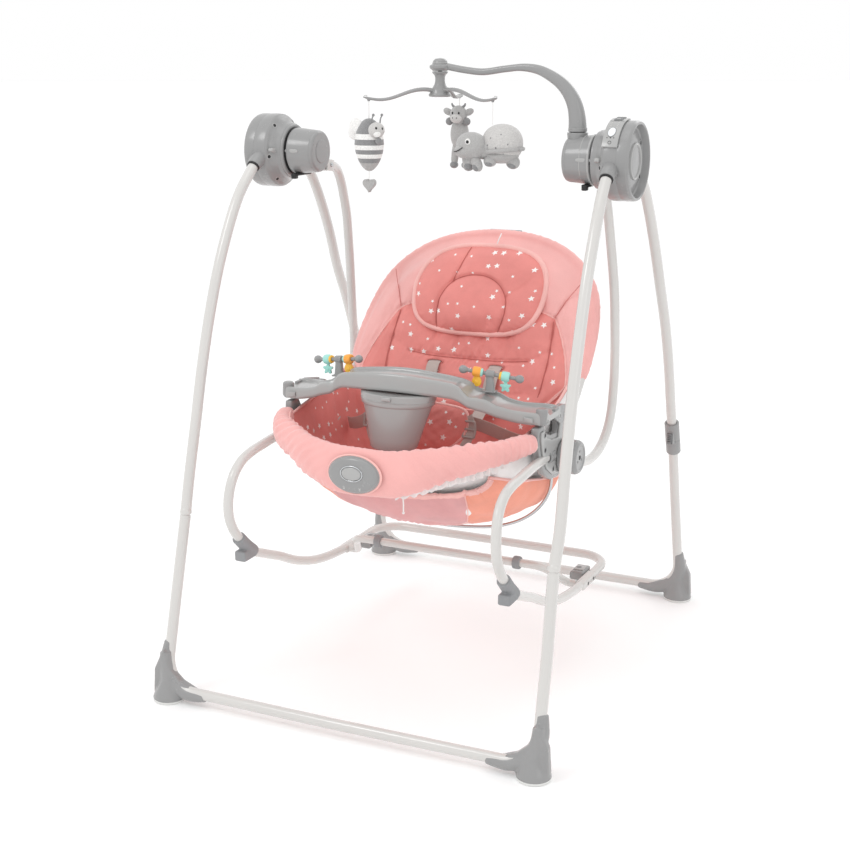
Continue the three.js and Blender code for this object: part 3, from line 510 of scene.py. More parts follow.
def fix_normals(o):
    import bmesh
    bm = bmesh.new()
    bm.from_mesh(o.data)
    bmesh.ops.recalc_face_normals(bm, faces=bm.faces)
    bm.to_mesh(o.data)
    bm.free()
    return o


def fillet(P, r, n=4):
    """Rounds each inner corner of a 2-D profile."""
    P = [np.array(p, float) for p in P]
    out = [P[0]]
    for i in range(1, len(P) - 1):
        p, a, b = P[i], P[i - 1] - P[i], P[i + 1] - P[i]
        la, lb = np.linalg.norm(a), np.linalg.norm(b)
        if la < 1e-6 or lb < 1e-6:
            continue
        a, b = a / la, b / lb
        R = r[i] if isinstance(r, (list, tuple)) else r
        ang = math.acos(max(-1, min(1, float(a @ b))))
        if R <= 0 or ang > math.radians(172):
            out.append(p)
            continue
        cut = min(R / math.tan(ang / 2), la * 0.45, lb * 0.45)
        s, e = p + a * cut, p + b * cut
        for k in range(n + 1):
            w = k / n
            out.append((1 - w) ** 2 * s + 2 * w * (1 - w) * p + w * w * e)
    out.append(P[-1])
    return out


def lathe(name, profile, origin, axis, mat="grey", seg=72, r=1.0, sx=1.0, sy=1.0, mats=None, pick=None, ref=None):
    """profile of (height along axis, radius), turned about the line through origin."""
    prof = fillet(profile, r) if r else [np.array(p, float) for p in profile]
    ax = np.array(axis, float)
    ax /= np.linalg.norm(ax)
    refv = np.array(ref, float) if ref is not None else (arr(0, 0, 1) if abs(ax[2]) < 0.9 else arr(0, 1, 0))
    u = np.cross(ax, refv)
    u /= np.linalg.norm(u)
    w = np.cross(ax, u)
    a = np.linspace(0, 2 * math.pi, seg, endpoint=False)
    verts, rows, F, idx = [], [], [], []
    o0 = np.array(origin, float)
    for h, rad in prof:
        if rad < 1e-6:
            rows.append([len(verts)])
            verts.append(o0 + ax * h)
        else:
            rows.append(list(range(len(verts), len(verts) + seg)))
            verts += list(o0 + ax * h + rad * (sx * np.cos(a)[:, None] * u + sy * np.sin(a)[:, None] * w))
    for i in range(len(rows) - 1):
        A, B = rows[i], rows[i + 1]
        m = pick((prof[i] + prof[i + 1]) / 2) if pick else 0
        for k in range(seg):
            k2 = (k + 1) % seg
            if len(A) == 1 and len(B) == 1:
                continue
            if len(A) == 1:
                F.append((A[0], B[k], B[k2]))
            elif len(B) == 1:
                F.append((A[k], B[0], A[k2]))
            else:
                F.append((A[k], B[k], B[k2], A[k2]))
            idx.append(m)
    o = new_mesh(name, verts, F, mats or mat, index=idx)
    return fix_normals(o)


def loft(name, rows, mat, uvs=None, caps=True, sharp=38):
    rows = [np.asarray(r, float) for r in rows]
    n = len(rows[0])
    verts = np.vstack(rows).tolist()
    F = []
    for i in range(len(rows) - 1):
        for k in range(n):
            k2 = (k + 1) % n
            F.append((i * n + k, i * n + k2, (i + 1) * n + k2, (i + 1) * n + k))
    if caps:
        F.append(tuple(range(n - 1, -1, -1)))
        F.append(tuple((len(rows) - 1) * n + k for k in range(n)))
    o = new_mesh(name, verts, F, mat, uvs=uvs, sharp=sharp)
    return fix_normals(o)


def prism(name, outline, direction, start, depth, mat="grey", bevel=1.0, seg=3, plane=None):
    """A slab with softened edges: outline of 2-D points in the plane spanned by plane, pushed along direction."""
    e1, e2 = plane
    base = [np.array(start, float) + e1 * p[0] + e2 * p[1] for p in outline]
    d = np.array(direction, float) * depth
    n = len(base)
    verts = base + [b + d for b in base]
    F = [tuple(range(n)), tuple(range(2 * n - 1, n - 1, -1))] + [(k, (k + 1) % n, (k + 1) % n + n, k + n) for k in range(n)]
    o = new_mesh(name, verts, F, mat)
    fix_normals(o)
    if bevel:
        m = o.modifiers.new("b", "BEVEL")
        m.width, m.segments, m.limit_method, m.angle_limit = bevel * MM, seg, "ANGLE", math.radians(25)
        m.harden_normals = False
        settle(o)
        o.data.shade_smooth()
        o.data.set_sharp_from_angle(angle=math.radians(45))
    return o


EX, EY, EZ = arr(1, 0, 0), arr(0, 1, 0), arr(0, 0, 1)


def slab_x(name, outline, x0, x1, mat="grey", bevel=1.0):
    return prism(name, outline, EX, (x0, 0, 0), x1 - x0, mat, bevel, plane=(EY, EZ))


def slab_y(name, outline, y0, y1, mat="grey", bevel=1.0):
    return prism(name, outline, EY, (0, y0, 0), y1 - y0, mat, bevel, plane=(EX, EZ))


def slab_z(name, outline, z0, z1, mat="grey", bevel=1.0):
    return prism(name, outline, EZ, (0, 0, z0), z1 - z0, mat, bevel, plane=(EX, EY))


def rbox(name, x0, x1, y0, y1, z0, z1, mat="grey", bevel=1.0):
    return slab_x(name, [(y0, z0), (y1, z0), (y1, z1), (y0, z1)], x0, x1, mat, bevel)


def moulded(name, objs, voxel, mat, smooth=4, cut=None, angle=None):
    """Joins solids into one moulded skin with soft inner corners."""
    o = join(name, objs)
    if cut:
        for c in cut:
            b = o.modifiers.new("c", "BOOLEAN")
            b.operation, b.object, b.solver = "DIFFERENCE", c, "EXACT"
    m = o.modifiers.new("v", "REMESH")
    m.mode, m.voxel_size, m.adaptivity = "VOXEL", voxel * MM, 0.0
    if smooth:
        s = o.modifiers.new("s", "SMOOTH")
        s.factor, s.iterations = 0.5, smooth
    settle(o)
    for c in (cut or []):
        bpy.data.objects.remove(c)
    o.data.materials.clear()
    o.data.materials.append(M[mat] if isinstance(mat, str) else mat)
    o.data.shade_smooth()
    return o


def ellipsoid(name, c, r, mat, rot=None, nu=28, nv=18, sup=1.0):
    """A closed rounded form; sup below 1 squares it off."""
    verts, F = [], []
    sg = lambda v: np.sign(v) * np.abs(v) ** sup
    for i in range(nv + 1):
        t = math.pi * i / nv
        for k in range(nu):
            p = 2 * math.pi * k / nu
            verts.append([sg(math.sin(t) * math.cos(p)), sg(math.sin(t) * math.sin(p)), sg(math.cos(t))])
    verts = np.array(verts) * np.array(r)
    if rot is not None:
        verts = verts @ np.array(Matrix.Rotation(math.radians(rot[0]), 3, rot[1])).T
    verts += np.array(c)
    for i in range(nv):
        for k in range(nu):
            k2 = (k + 1) % nu
            if i == 0:
                F.append((k, (i + 1) * nu + k, (i + 1) * nu + k2))
            elif i == nv - 1:
                F.append((i * nu + k, (i + 1) * nu + k, i * nu + k2))
            else:
                F.append((i * nu + k, (i + 1) * nu + k, (i + 1) * nu + k2, i * nu + k2))
    used = sorted({i for f in F for i in f})
    remap = {u: j for j, u in enumerate(used)}
    o = new_mesh(name, verts[used], [[remap[i] for i in f] for f in F], mat, sharp=None)
    return fix_normals(o)


def screw(c, axis, r=3.2, mat="dark"):
    """A recessed screw hole: dark well with a small head inside."""
    ax = np.array(axis, float) / np.linalg.norm(axis)
    # all of it is black: painted shade over the recess and the head alike
    return lathe("screw", [(0.25, 0), (0.25, r * 0.72), (0.5, r * 0.78), (0.5, r), (-0.6, r * 1.02), (-0.6, 0)], np.array(c, float), ax, mats=["black"], seg=24, r=0.1)


# ------------------------------------------------------------------ driving dimensions, as in the CAD
AXIS_Y, AXIS_Z, HUB_R = -31.0, 979.0, 69.0


def all_tubes():
    F = (359.6, -370.3, 335.4)
    half = bends([F, (363.1, -402.6, 200), (365, -448, 24), (0, -452, 24)], [0, 400, 62, 0])
    front = dense(mirror_route(np.vstack([half[:-1], [[0, -452, 24]]])), 25)
    done(tube("front_base_v", front, 10), "stand", "tube_white", "front_base_tube")
    leg = catmull([(359.5, -369.4, 339), (361.8, -350.4, 400), (359.7, -324.9, 500), (358.3, -298.8, 600), (357.1, -266.3, 700), (354.8, -225.4, 800),
                   (351.6, -167.8, 900), (348.2, -131.6, 940), (347, -104, 963), (346.5, -84, 972)], 64)
    lip = tube("lip", [leg[0] + (0, 0, -0.4), leg[0] + (0, 0, 0.6), leg[1] * 0.5 + leg[0] * 0.5, leg[1]], [10.0, 10.7, 10.7, 10.0])
    both(join("front_leg_v", [tube("t", leg, 10), lip]), "front_leg", "stand", "tube_white", "front_leg")
    R = (354.2, 367.5, 384)
    half = bends([R, (355, 407, 237), (362, 448, 24), (0, 452, 24)], [0, 400, 62, 0])
    rear = dense(mirror_route(np.vstack([half[:-1], [[0, 452, 24]]])), 25)
    done(tube("rear_base_v", rear, 10), "rear_frame", "tube_white", "rear_base_tube")
    leg = catmull([(354.2, 366.6, 387.5), (354.8, 342, 450), (355.5, 303, 560), (355.5, 262, 650), (354.8, 223, 720), (352, 185.4, 800),
                   (349.7, 138.4, 880), (348.6, 107, 921), (348, 76, 946), (348, 42, 962), (348, 16, 968)], 64)
    lug = slab_x("lug", [(24, 976), (24, 958), (-20, 962), (-31, 962), (-45, 967), (-50, 981), (-45, 995), (-31, 1000), (-17, 994)], 342.5, 353.5, "tube", 2.5)
    both(join("rear_leg_v", [tube("t", leg, 10), lug]), "rear_leg", "rear_frame", "tube_white", "rear_leg")
    arm = catmull([(270, 34.4, 947.5), (272, 54, 946), (275, 80, 936), (277, 101, 910), (278, 114, 880), (279, 127.4, 840), (281, 136.4, 800),
                   (283, 144.6, 760), (285, 152, 715), (286, 159, 650), (286, 165, 582), (286, 162, 523), (286, 149, 474), (286, 119, 441), (286, 72, 421),
                   (286, 18, 418), (286, -30, 427)], 110)
    fork = slab_x("fork", [(18, 939), (44, 936), (48, 945), (46, 957), (30, 960), (18, 958)], 261.5, 265.5, "tube", 1.2)
    fork2 = slab_x("fork", [(18, 939), (44, 936), (48, 945), (46, 957), (30, 960), (18, 958)], 275.5, 279.5, "tube", 1.2)
    bolt = lathe("bolt", [(-5.5, 0), (-5.5, 3.5), (-3.5, 4.2), (15, 4.2), (15, 2.6), (18, 2.6), (19.2, 0)], (264, 33, 949), EX, "steel", 24, 0.5)
    both(join("arm_v", [tube("t", arm, 9), fork, fork2, bolt]), "hanger_arm", "swing", "tube_white", "hanger_arm")
    rail = catmull([(250, -98, 453.5), (254, -150, 457), (257.5, -210, 458.5), (257.5, -262, 455), (257, -303, 451), (257, -336, 442), (258, -362, 421), (260, -376, 388),
                    (261, -377, 352), (261.6, -363, 320), (262, -336, 290), (262, -300, 259), (262, -250, 236), (262, -200, 215.3), (262, -150, 191.5), (262, -100, 173),
                    (262, -50, 160), (262, 0, 152), (262, 50, 147.5), (262, 96, 145)], 130)
    rr = np.full(len(rail), 9.0)
    both(tube("rail_v", rail, rr), "rocker_rail", "swing", "tube_white", "rocker_rail")
    half = bends([(262, 96.5, 145), (262, 246, 146), (0, 249, 146)], [0, 58, 0])
    ub = tube("t", dense(mirror_route(half), 25), 9)
    parts = [ub]
    for s in (1, -1):       # the pressed joint between rail and bar, with its two screws
        parts.append(slab_x("j", [(62, 137), (136, 137), (142, 145.5), (136, 154), (62, 154), (56, 146)], s * 262 + 0.0 - 9.9, s * 262 + 9.9, "tube", 4.0))
        for y in (84, 116):
            parts.append(screw((s * 262 + s * 10.1, y, 146), (s, 0, 0), 3.2))
            parts.append(lathe("w", [(0, 3.4), (0.7, 3.6), (0.7, 5.4), (0, 5.8)], (s * 262 + s * 9.7, y, 146), (s, 0, 0), "tube", 24, 0.2))
    done(join("rear_u_bar_v", parts), "swing", "tube_white", "rear_u_bar")
    # kickstand with its rubber collars
    half = bends([(251.5, 70, 147), (232, 70, 147), (205, 6.4, 197), (0, 6.4, 197)], [0, 14, 34, 0])
    parts = [tube("t", dense(mirror_route(half), 25), 8)]
    for s in (1, -1):
        parts.append(lathe("c", [(-7, 8.2), (-7, 12.4), (-3, 13), (3, 13), (7, 12.4), (7, 8.2)], (s * 151, 6.4, 197), EX, "rubber", 40, 1.2))
    done(join("kickstand_v", parts), "kickstand", "tube_white", "kickstand_bar")
    ring_h = [(249, -158, 486), (247, -176, 488), (241, -202, 488), (231, -228, 486), (216, -254, 482), (195, -279, 478), (165, -303, 473), (118, -334, 467),
              (60, -355, 462), (0, -361, 461)]
    ring = catmull(mirror_route(ring_h), 120)
    done(tube("seat_ring_v", ring, 8), "swing", "tube_white", "seat_ring_tube")
    back_h = [(231, -60, 444), (232, -20, 452), (235, 24, 476), (240, 62, 518), (243, 96, 560), (244, 130, 600), (239, 174, 650), (222, 214, 702),
              (187, 244, 743), (138, 266, 773), (74, 281, 791), (0, 286, 797)]
    back = catmull(mirror_route(back_h), 140)
    t = [tube("t", back, 8)]
    for s in (1, -1):
        t.append(lathe("p", [(226, 0), (226, 9), (228, 10), (257, 10), (257, 0)], (0, -60, 444), (s, 0, 0), "tube", 40, 0.8))
    done(join("backrest_tube_v", t), "backrest", "tube_white", "backrest_tube")
    rod_h = [(237.5, -50, 424), (238, -50, 400), (234, -48, 370), (218, -44, 340), (185, -38, 308), (130, -30, 281), (65, -25, 268), (0, -24, 264)]
    done(tube("sling_rod_v", catmull(mirror_route(rod_h), 90), 3.2, "steel", 14), "swing", "bright_steel", "sling_rod")
    return front, rear, ring, back


FRONT, REAR, RING, BACK = all_tubes()


# ------------------------------------------------------------------ feet and rubber clips
def feet():
    for sign, base, body in ((-1, FRONT, "stand"), (1, REAR, "rear_frame")):
        half = [p for p in base if p[0] > 270 and p[2] < 116]
        half = dense(np.array(half), 4)
        L = np.concatenate([[0], np.cumsum(np.linalg.norm(np.diff(half, axis=0), axis=1))])
        f = L / L[-1]
        # the shell lies on the outer, lower side of the bend and leaves its inner side open
        mid = np.sin(f * math.pi)
        T, U, W = frames(half)
        out = np.array([(p - arr(300, p[1], 90)) for p in half])
        out[:, 1] = 0
        out /= np.linalg.norm(out, axis=1)[:, None]
        path = half + out * (2.2 + 4.5 * mid)[:, None]
        sleeve = tube("s", path, 10.8 + 3.4 * mid, "grey", 28)
        y = sign * 445.5
        cx = 360
        pad = []
        for z, r, x, k in ((4.0, 30.0, cx, 0), (7, 30.4, cx, 0), (14, 28, cx, 0), (26, 22, cx - 1, 0), (40, 16.5, cx - 1.5, 0), (56, 13.5, cx + 2, 0), (74, 11.5, cx + 5.5, 0), (92, 10, cx + 6.5, 0)):
            a = np.linspace(0, 2 * math.pi, 36, endpoint=False)
            yy = y + (0 if z < 30 else (z - 30) * 0.06 * -sign * 0.5)
            pad.append(np.stack([x + r * np.cos(a), yy + r * 0.98 * np.sin(a), np.full(36, float(z))], 1))
        skirt = loft("k", pad, "grey")
        fin = slab_y("f", [(386, 60), (389.5, 12), (352, 9), (318, 16), (290, 13), (296, 28), (330, 42), (352, 62), (366, 100)], y - 9, y + 9, "grey", 3.0)
        m = moulded("foot_v", [sleeve, skirt, fin], 1.7, "grey", 9)
        # keep the shoe over z 3 so that it rests on its pale pad
        pale = lathe("pale", [(0, 0), (0, 27.5), (1.2, 29.5), (5.2, 29.5), (5.2, 0)], (cx, y, 0), EZ, "pale", 64, 0.6)
        o = join("foot_v", [m, pale])
        both(o, "front_foot" if sign < 0 else "rear_foot", body, "grey_plastic", "front_foot" if sign < 0 else "rear_foot")
    clip = [rbox("c", 250.5, 273.5, -344, -301, 250.5, 270, "rubber", 3.0)]
    path = catmull([(262, -345.5, 298), (262, -322, 276.5), (262, -298, 257.5)], 20)
    clip.append(tube("c2", path, 12.6, "rubber", 28))
    c = moulded("clip", clip, 1.3, "rubber", 5)
    both(c, "rail_foot", "swing", "rubber", "rail_foot")
    latch = [rbox("l", 225, 252.2, 109, 157, 135, 156.5, "grey", 3.5), rbox("l2", 222.5, 228, 114, 152, 139, 152, "dark", 2.0),
             lathe("l3", [(0, 0), (0, 5), (3, 5.6), (3, 0)], (236, 133, 156), EZ, "dark", 28, 0.8), rbox("l4", 229, 249, 120, 146, 156, 158.5, "grey2", 1.0)]
    both(join("latch", latch), "rail_latch", "swing", "grey_plastic", "rail_latch")


feet()


# ------------------------------------------------------------------ hubs
def hub():
    c = (0, AXIS_Y, AXIS_Z)
    prof = [(305, 14), (305, 48), (306.5, 50), (309, 50.3), (309.8, 51.6), (317, 53.2), (322, 56.5), (327, 61), (330, 65.5), (334, 68.6), (342, 69.4), (350, 69.4), (357.6, 68.8), (358, 66), (352, 60), (352, 14)]
    house = lathe("h", prof, c, EX, "grey", 128, [0, 0.4, 1.2, 0.8, 0.4, 0.6, 3, 3, 2.5, 3, 3, 3, 2, 1.5, 1.5, 0])
    parts = [house]
    # light step ring and the dark gap to the drum, where a black ring is painted shade
    parts.append(lathe("gap", [(303.0, 12), (303.0, 41), (304.9, 45.5), (304.9, 12)], c, EX, "black", 96, 0.2))
    # leg socket: a round boss where the front leg enters, with a dark mouth: a black collar round the leg that is
    # painted shade in the opening
    leg = catmull([(354.8, -225.4, 800), (351.6, -167.8, 900), (348.2, -131.6, 940), (347, -104, 963), (346.5, -84, 972)], 40)
    sock = [p for p in leg if -116 < p[1] < -84]
    parts.append(tube("so", dense(np.array(sock), 3), np.linspace(13.6, 15.5, len(dense(np.array(sock), 3))), "grey", 40))
    mouth = [p for p in leg if -120.0 < p[1] < -112]
    parts.append(tube("mo", dense(np.array(mouth), 2), 12.2, "black", 32))
    # rear leg socket
    rl = catmull([(349.7, 138.4, 880), (348.6, 107, 921), (348, 76, 946), (348, 42, 962), (348, 16, 968)], 40)
    sock = dense(np.array([p for p in rl if 20 < p[1] < 52]), 3)
    parts.append(tube("so", sock, np.linspace(13.8, 15.5, len(sock))[::-1], "grey", 40))
    # five recessed screws on the inner cone, a long boss, a moulded step
    for k, deg in enumerate((60, 128, 188, 238, 300)):
        a = math.radians(deg)
        r, x = 61.2, 327.4
        n = arr(-0.78, 0.62 * math.cos(a), 0.62 * math.sin(a))
        p = arr(x, AXIS_Y + r * math.cos(a), AXIS_Z + r * math.sin(a))
        parts.append(screw(p + n * 0.4, n, 3.0))
        parts.append(lathe("rim", [(0, 3.2), (0.7, 3.4), (0.7, 4.6), (-0.5, 5.2)], p + n * 0.1, n, "grey2", 28, 0.2))
    parts.append(ellipsoid("boss", (322.5, AXIS_Y - 54, AXIS_Z + 3), (6.5, 12.5, 4.6), "grey2", rot=(-8, "X"), sup=0.7))
    # three tiny dots over the leg socket
    for k in range(3):
        a = math.radians(196 - k * 5.5)
        p = arr(344 - 4 * (k - 1), AXIS_Y + 69.4 * math.cos(a), AXIS_Z + 69.4 * math.sin(a))
        parts.append(ellipsoid("dot", p, (1.2, 1.2, 1.2), "pale", nu=12, nv=8))
    h = join("hub_housing_v", parts)
    both(h, "hub_housing", "stand", "grey_plastic", "hub_housing")
    # outer cover: a dished face behind a rolled rim, with a raised centre plate and screws
    prof = [(353, 50), (353, 65.4), (356, 66.4), (357.2, 68.9), (364, 69.3), (374, 69.0), (378.2, 67.4), (379, 65.4), (378.4, 63.2), (375, 62), (366.5, 60.2), (365, 57), (366.5, 50), (369.6, 40), (371.8, 26), (372.6, 0)]
    cov = lathe("c", prof, c, EX, "grey", 128, [0, 0.4, 0.6, 0.6, 1, 2, 1.5, 1, 1, 1.5, 1.5, 2, 3, 4, 4, 0])
    parts = [cov]
    parts.append(lathe("ring", [(371.0, 27), (373.4, 28), (374.4, 30), (373.4, 32), (370, 33)], c, EX, "grey2", 96, 0.5))
    for deg in (35, 145, 215, 325):
        a = math.radians(deg)
        p = arr(366.9, AXIS_Y + 51 * math.cos(a), AXIS_Z + 51 * math.sin(a))
        parts.append(screw(p + arr(0.6, 0, 0), EX, 3.2))
        parts.append(lathe("b", [(-1, 7), (1.0, 5.2), (1.0, 3.4), (0, 3.2)], p, EX, "grey", 32, 0.4))
    # black ring in the recess between housing and cover: painted shade
    parts.append(lathe("dark", [(356.2, 60), (356.2, 68.2), (358.6, 68.2), (358.6, 60)], c, EX, "black", 96, 0))
    both(join("hub_cover_v", parts), "hub_cover", "stand", "grey_plastic", "hub_cover")
    # the motor sits inside the drive hub
    mo = [rbox("m", 336, 351, -53, -9, 1004, 1023.5, "dark", 2.5), lathe("s", [(330.8, 0), (330.8, 4.2), (336, 5), (336, 0)], (0, AXIS_Y, 1013), EX, "steel", 28, 0.4)]
    done(join("drive_motor_v", mo), "stand", "dark_plastic", "drive_motor")


hub()


def arc_strip(name, r0, r1, a0, a1, x0, x1, mat, n=24, bevel=0.8):
    """A shell piece lying on the hub's rim."""
    cen = arr(0, AXIS_Y, AXIS_Z)
    out = [(r0 * math.cos(math.radians(a)), r0 * math.sin(math.radians(a))) for a in np.linspace(a0, a1, n)]
    out += [(r1 * math.cos(math.radians(a)), r1 * math.sin(math.radians(a))) for a in np.linspace(a1, a0, n)]
    return prism(name, out, EX, (x0, AXIS_Y, AXIS_Z), x1 - x0, mat, bevel, plane=(EY, EZ))


def control_panel():
    R = 69.4
    parts = [arc_strip("p", R, R + 3.6, 84, 158, 330.5, 358.5, "grey2", 40, 1.4)]

    def on(deg, x, h=R + 3.7):
        a = math.radians(deg)
        n = arr(0, math.cos(a), math.sin(a))
        return arr(x, AXIS_Y, AXIS_Z) + n * h, n

    # oval display with its bezel, on the front slope
    p, n = on(135, 344)
    t = np.cross(EX, n)
    for r, m, h in ((1.0, "display", 1.0), (1.18, "grey", 0.55)):
        parts.append(ellipsoid("disp", p + n * (0.1 if m == "display" else 0), (9.5 * r, 0.1, 0.1), m))
        o = parts.pop()
        bpy.data.objects.remove(o)
        prof = [(h, 0), (h, 6.0 * r), (h - 0.5, 6.4 * r), (-0.8, 6.4 * r), (-0.8, 0)]
        parts.append(lathe("d", prof, p, n, m, 48, 0.25, sx=1.0, sy=1.5 if abs(n @ EZ) < 2 else 1.0, ref=t))
    # small marks and a sensor hole under the display
    for k in (-1, 0, 1):
        q, m = on(144.5, 344 + 6 * k, R + 3.75)
        parts.append(lathe("mk", [(0.15, 0), (0.15, 0.9), (-0.3, 1.0), (-0.3, 0)], q, m, "black", 16, 0))
    q, m = on(151.5, 344, R + 3.75)
    parts.append(lathe("hole", [(-0.4, 0), (-0.4, 2.2), (0.3, 2.6), (0.3, 3.0), (-0.6, 3.3)], q, m, mats=["black"], seg=28, r=0.1))
    # printed tick marks round the top: generic dashes
    for deg in (111, 115, 119, 123, 127):
        for x in (338, 350):
            q, m = on(deg, x, R + 3.72)
            tt = np.cross(EX, m)
            o = prism("tick", [(-1.4, -0.4), (1.4, -0.4), (1.4, 0.4), (-1.4, 0.4)], m, q, 0.25, "pale", 0, plane=(EX, tt))
            parts.append(o)
    parts.append(arc_strip("seam", R + 3.55, R + 3.95, 109.3, 109.9, 331.5, 357.5, "dark", 3, 0))
    done(join("control_panel_v", parts), "stand", "panel_plastic", "control_panel")
    for name, a0, a1, mat in (("power_button", 87.4, 95.6, "dark"), ("speed_button", 99.4, 107.6, "dark")):
        b = [arc_strip("b", R + 1.8, R + 5.4, a0, a1, 337.4, 352.6, mat, 8, 1.0)]
        q, m = on((a0 + a1) / 2, 345, R + 5.45)
        b.append(lathe("i", [(0.05, 1.7), (0.22, 1.8), (0.22, 2.6), (0.05, 2.7)], q, m, "pale", 24, 0))
        done(join(name + "_v", b), name, "dark_plastic", name)


control_panel()


def drums():
    c = (0, AXIS_Y, AXIS_Z)
    prof = [(248, 0), (248, 34), (248.6, 36), (251, 38.4), (254.4, 39.3), (255.0, 38.9), (255.6, 39.5), (298, 43.6), (301, 43.2), (302, 41.5), (302, 12), (303, 8), (368, 8), (368, 0)]
    rad = [0, 1, 1, 1.5, 0.4, 0.2, 0.4, 2, 1, 1, 1, 0.5, 0.5, 0]

    def body(name):
        d = lathe("d", prof, c, EX, "grey", 112, rad)
        lug = rbox("lug", 265.7, 275.3, -18, 38, 940, 957, "grey", 2.0)
        # under-drum lever with its dark finger
        lever = [rbox("lv", 284, 298, -60, -6, 933.5, 938, "black", 1.6), rbox("lv2", 286, 296, -66, -54, 928, 938, "black", 2.0)]
        cap = lathe("cap", [(246.6, 0), (246.6, 20), (247.2, 22), (248.2, 22.5), (248.2, 0)], c, EX, "grey", 64, 0.5)
        ob = ellipsoid("ob", (290, AXIS_Y - 41.8, AXIS_Z + 2), (14, 1.3, 3.4), "grey2", sup=0.6)
        return [d, lug, cap, ob] + lever

    left = join("swing_drum_left_src", body("l"))
    l2 = mirrored(left, "swing_drum_left_v")
    bpy.data.objects.remove(left)
    done(l2, "swing", "grey_plastic", "swing_drum_left")
    right = body("r")
    col = lathe("col", [(940.5, 0), (940.5, 14), (942, 16.4), (1013, 16.9), (1016, 17.6), (1023, 18.4), (1025.4, 18.2), (1026, 16.8), (1025.6, 14.5), (1022, 13.8), (1022, 0)],
                (265, AXIS_Y, 0), EZ, "grey", 72, [0, 1, 1, 1, 1, 1, 0.5, 0.5, 0.5, 0.3, 0])
    right.append(col)
    # a thin lighter cord on the D-shaped edge where drum and column meet: painted highlight
    a = np.linspace(-math.pi / 2 - 1.0, math.pi / 2 + 1.0, 60)
    edge = [(282.6, AXIS_Y + 41.6 * math.cos(t + math.pi), AXIS_Z + 41.6 * math.sin(t)) for t in a]
    right.append(tube("edge", edge, 0.9, "grey2", 10))
    right.append(lathe("notch", [(296.6, 41), (296.6, 44.6), (298.4, 44.8), (300.4, 44.4), (300.4, 41)], c, EX, "grey2", 96, 0.4))
    done(join("swing_drum_right_v", right), "swing", "grey_plastic", "swing_drum_right")


drums()


# ------------------------------------------------------------------ rear leg couplings
def couplings():
    a, b = arr(354.1, 380, 352), arr(354.6, 353, 421)
    d = (b - a) / np.linalg.norm(b - a)
    L = np.linalg.norm(b - a)
    sl = lathe("s", [(0, 10.6), (0, 13.8), (1.6, 15), (L * 0.42, 15.2), (L * 0.42 + 1, 14.4), (L * 0.46, 14.4), (L * 0.46 + 1, 15.2), (L - 1.6, 15), (L, 13.8), (L, 10.6), (L * 0.5, 10.3), (0, 10.6)], a, d, "grey", 64, 0.7)
    nose = rbox("n", 346.7, 362.3, 343.2, 364, 374.3, 401.7, "grey", 3.2)
    # a thin black slab just behind the button shows as a dark outline round it: painted shade in the gap
    well = rbox("w", 349.2, 359.8, 342.6, 343.6, 376.7, 399.3, "black", 0.3)
    rib = [rbox("r", 347.4, 361.6, 361, 372, 402, 405, "grey2", 1.0)]
    both(join("cpl", [sl, nose, well] + rib), "leg_coupling", "rear_frame", "grey_plastic", "leg_coupling")
    btn = rbox("b", 349.9, 359.1, 339.6, 347.4, 377.4, 398.6, "dark", 1.6)
    ribs = [rbox("r", 351.0, 358.0, 339.1, 339.9, z, z + 1.2, "black", 0.3) for z in (382, 386, 390, 394)]
    both(join("btn", [btn] + ribs), "coupling_button", "coupling_button_*", "dark_plastic", "coupling_button")


couplings()


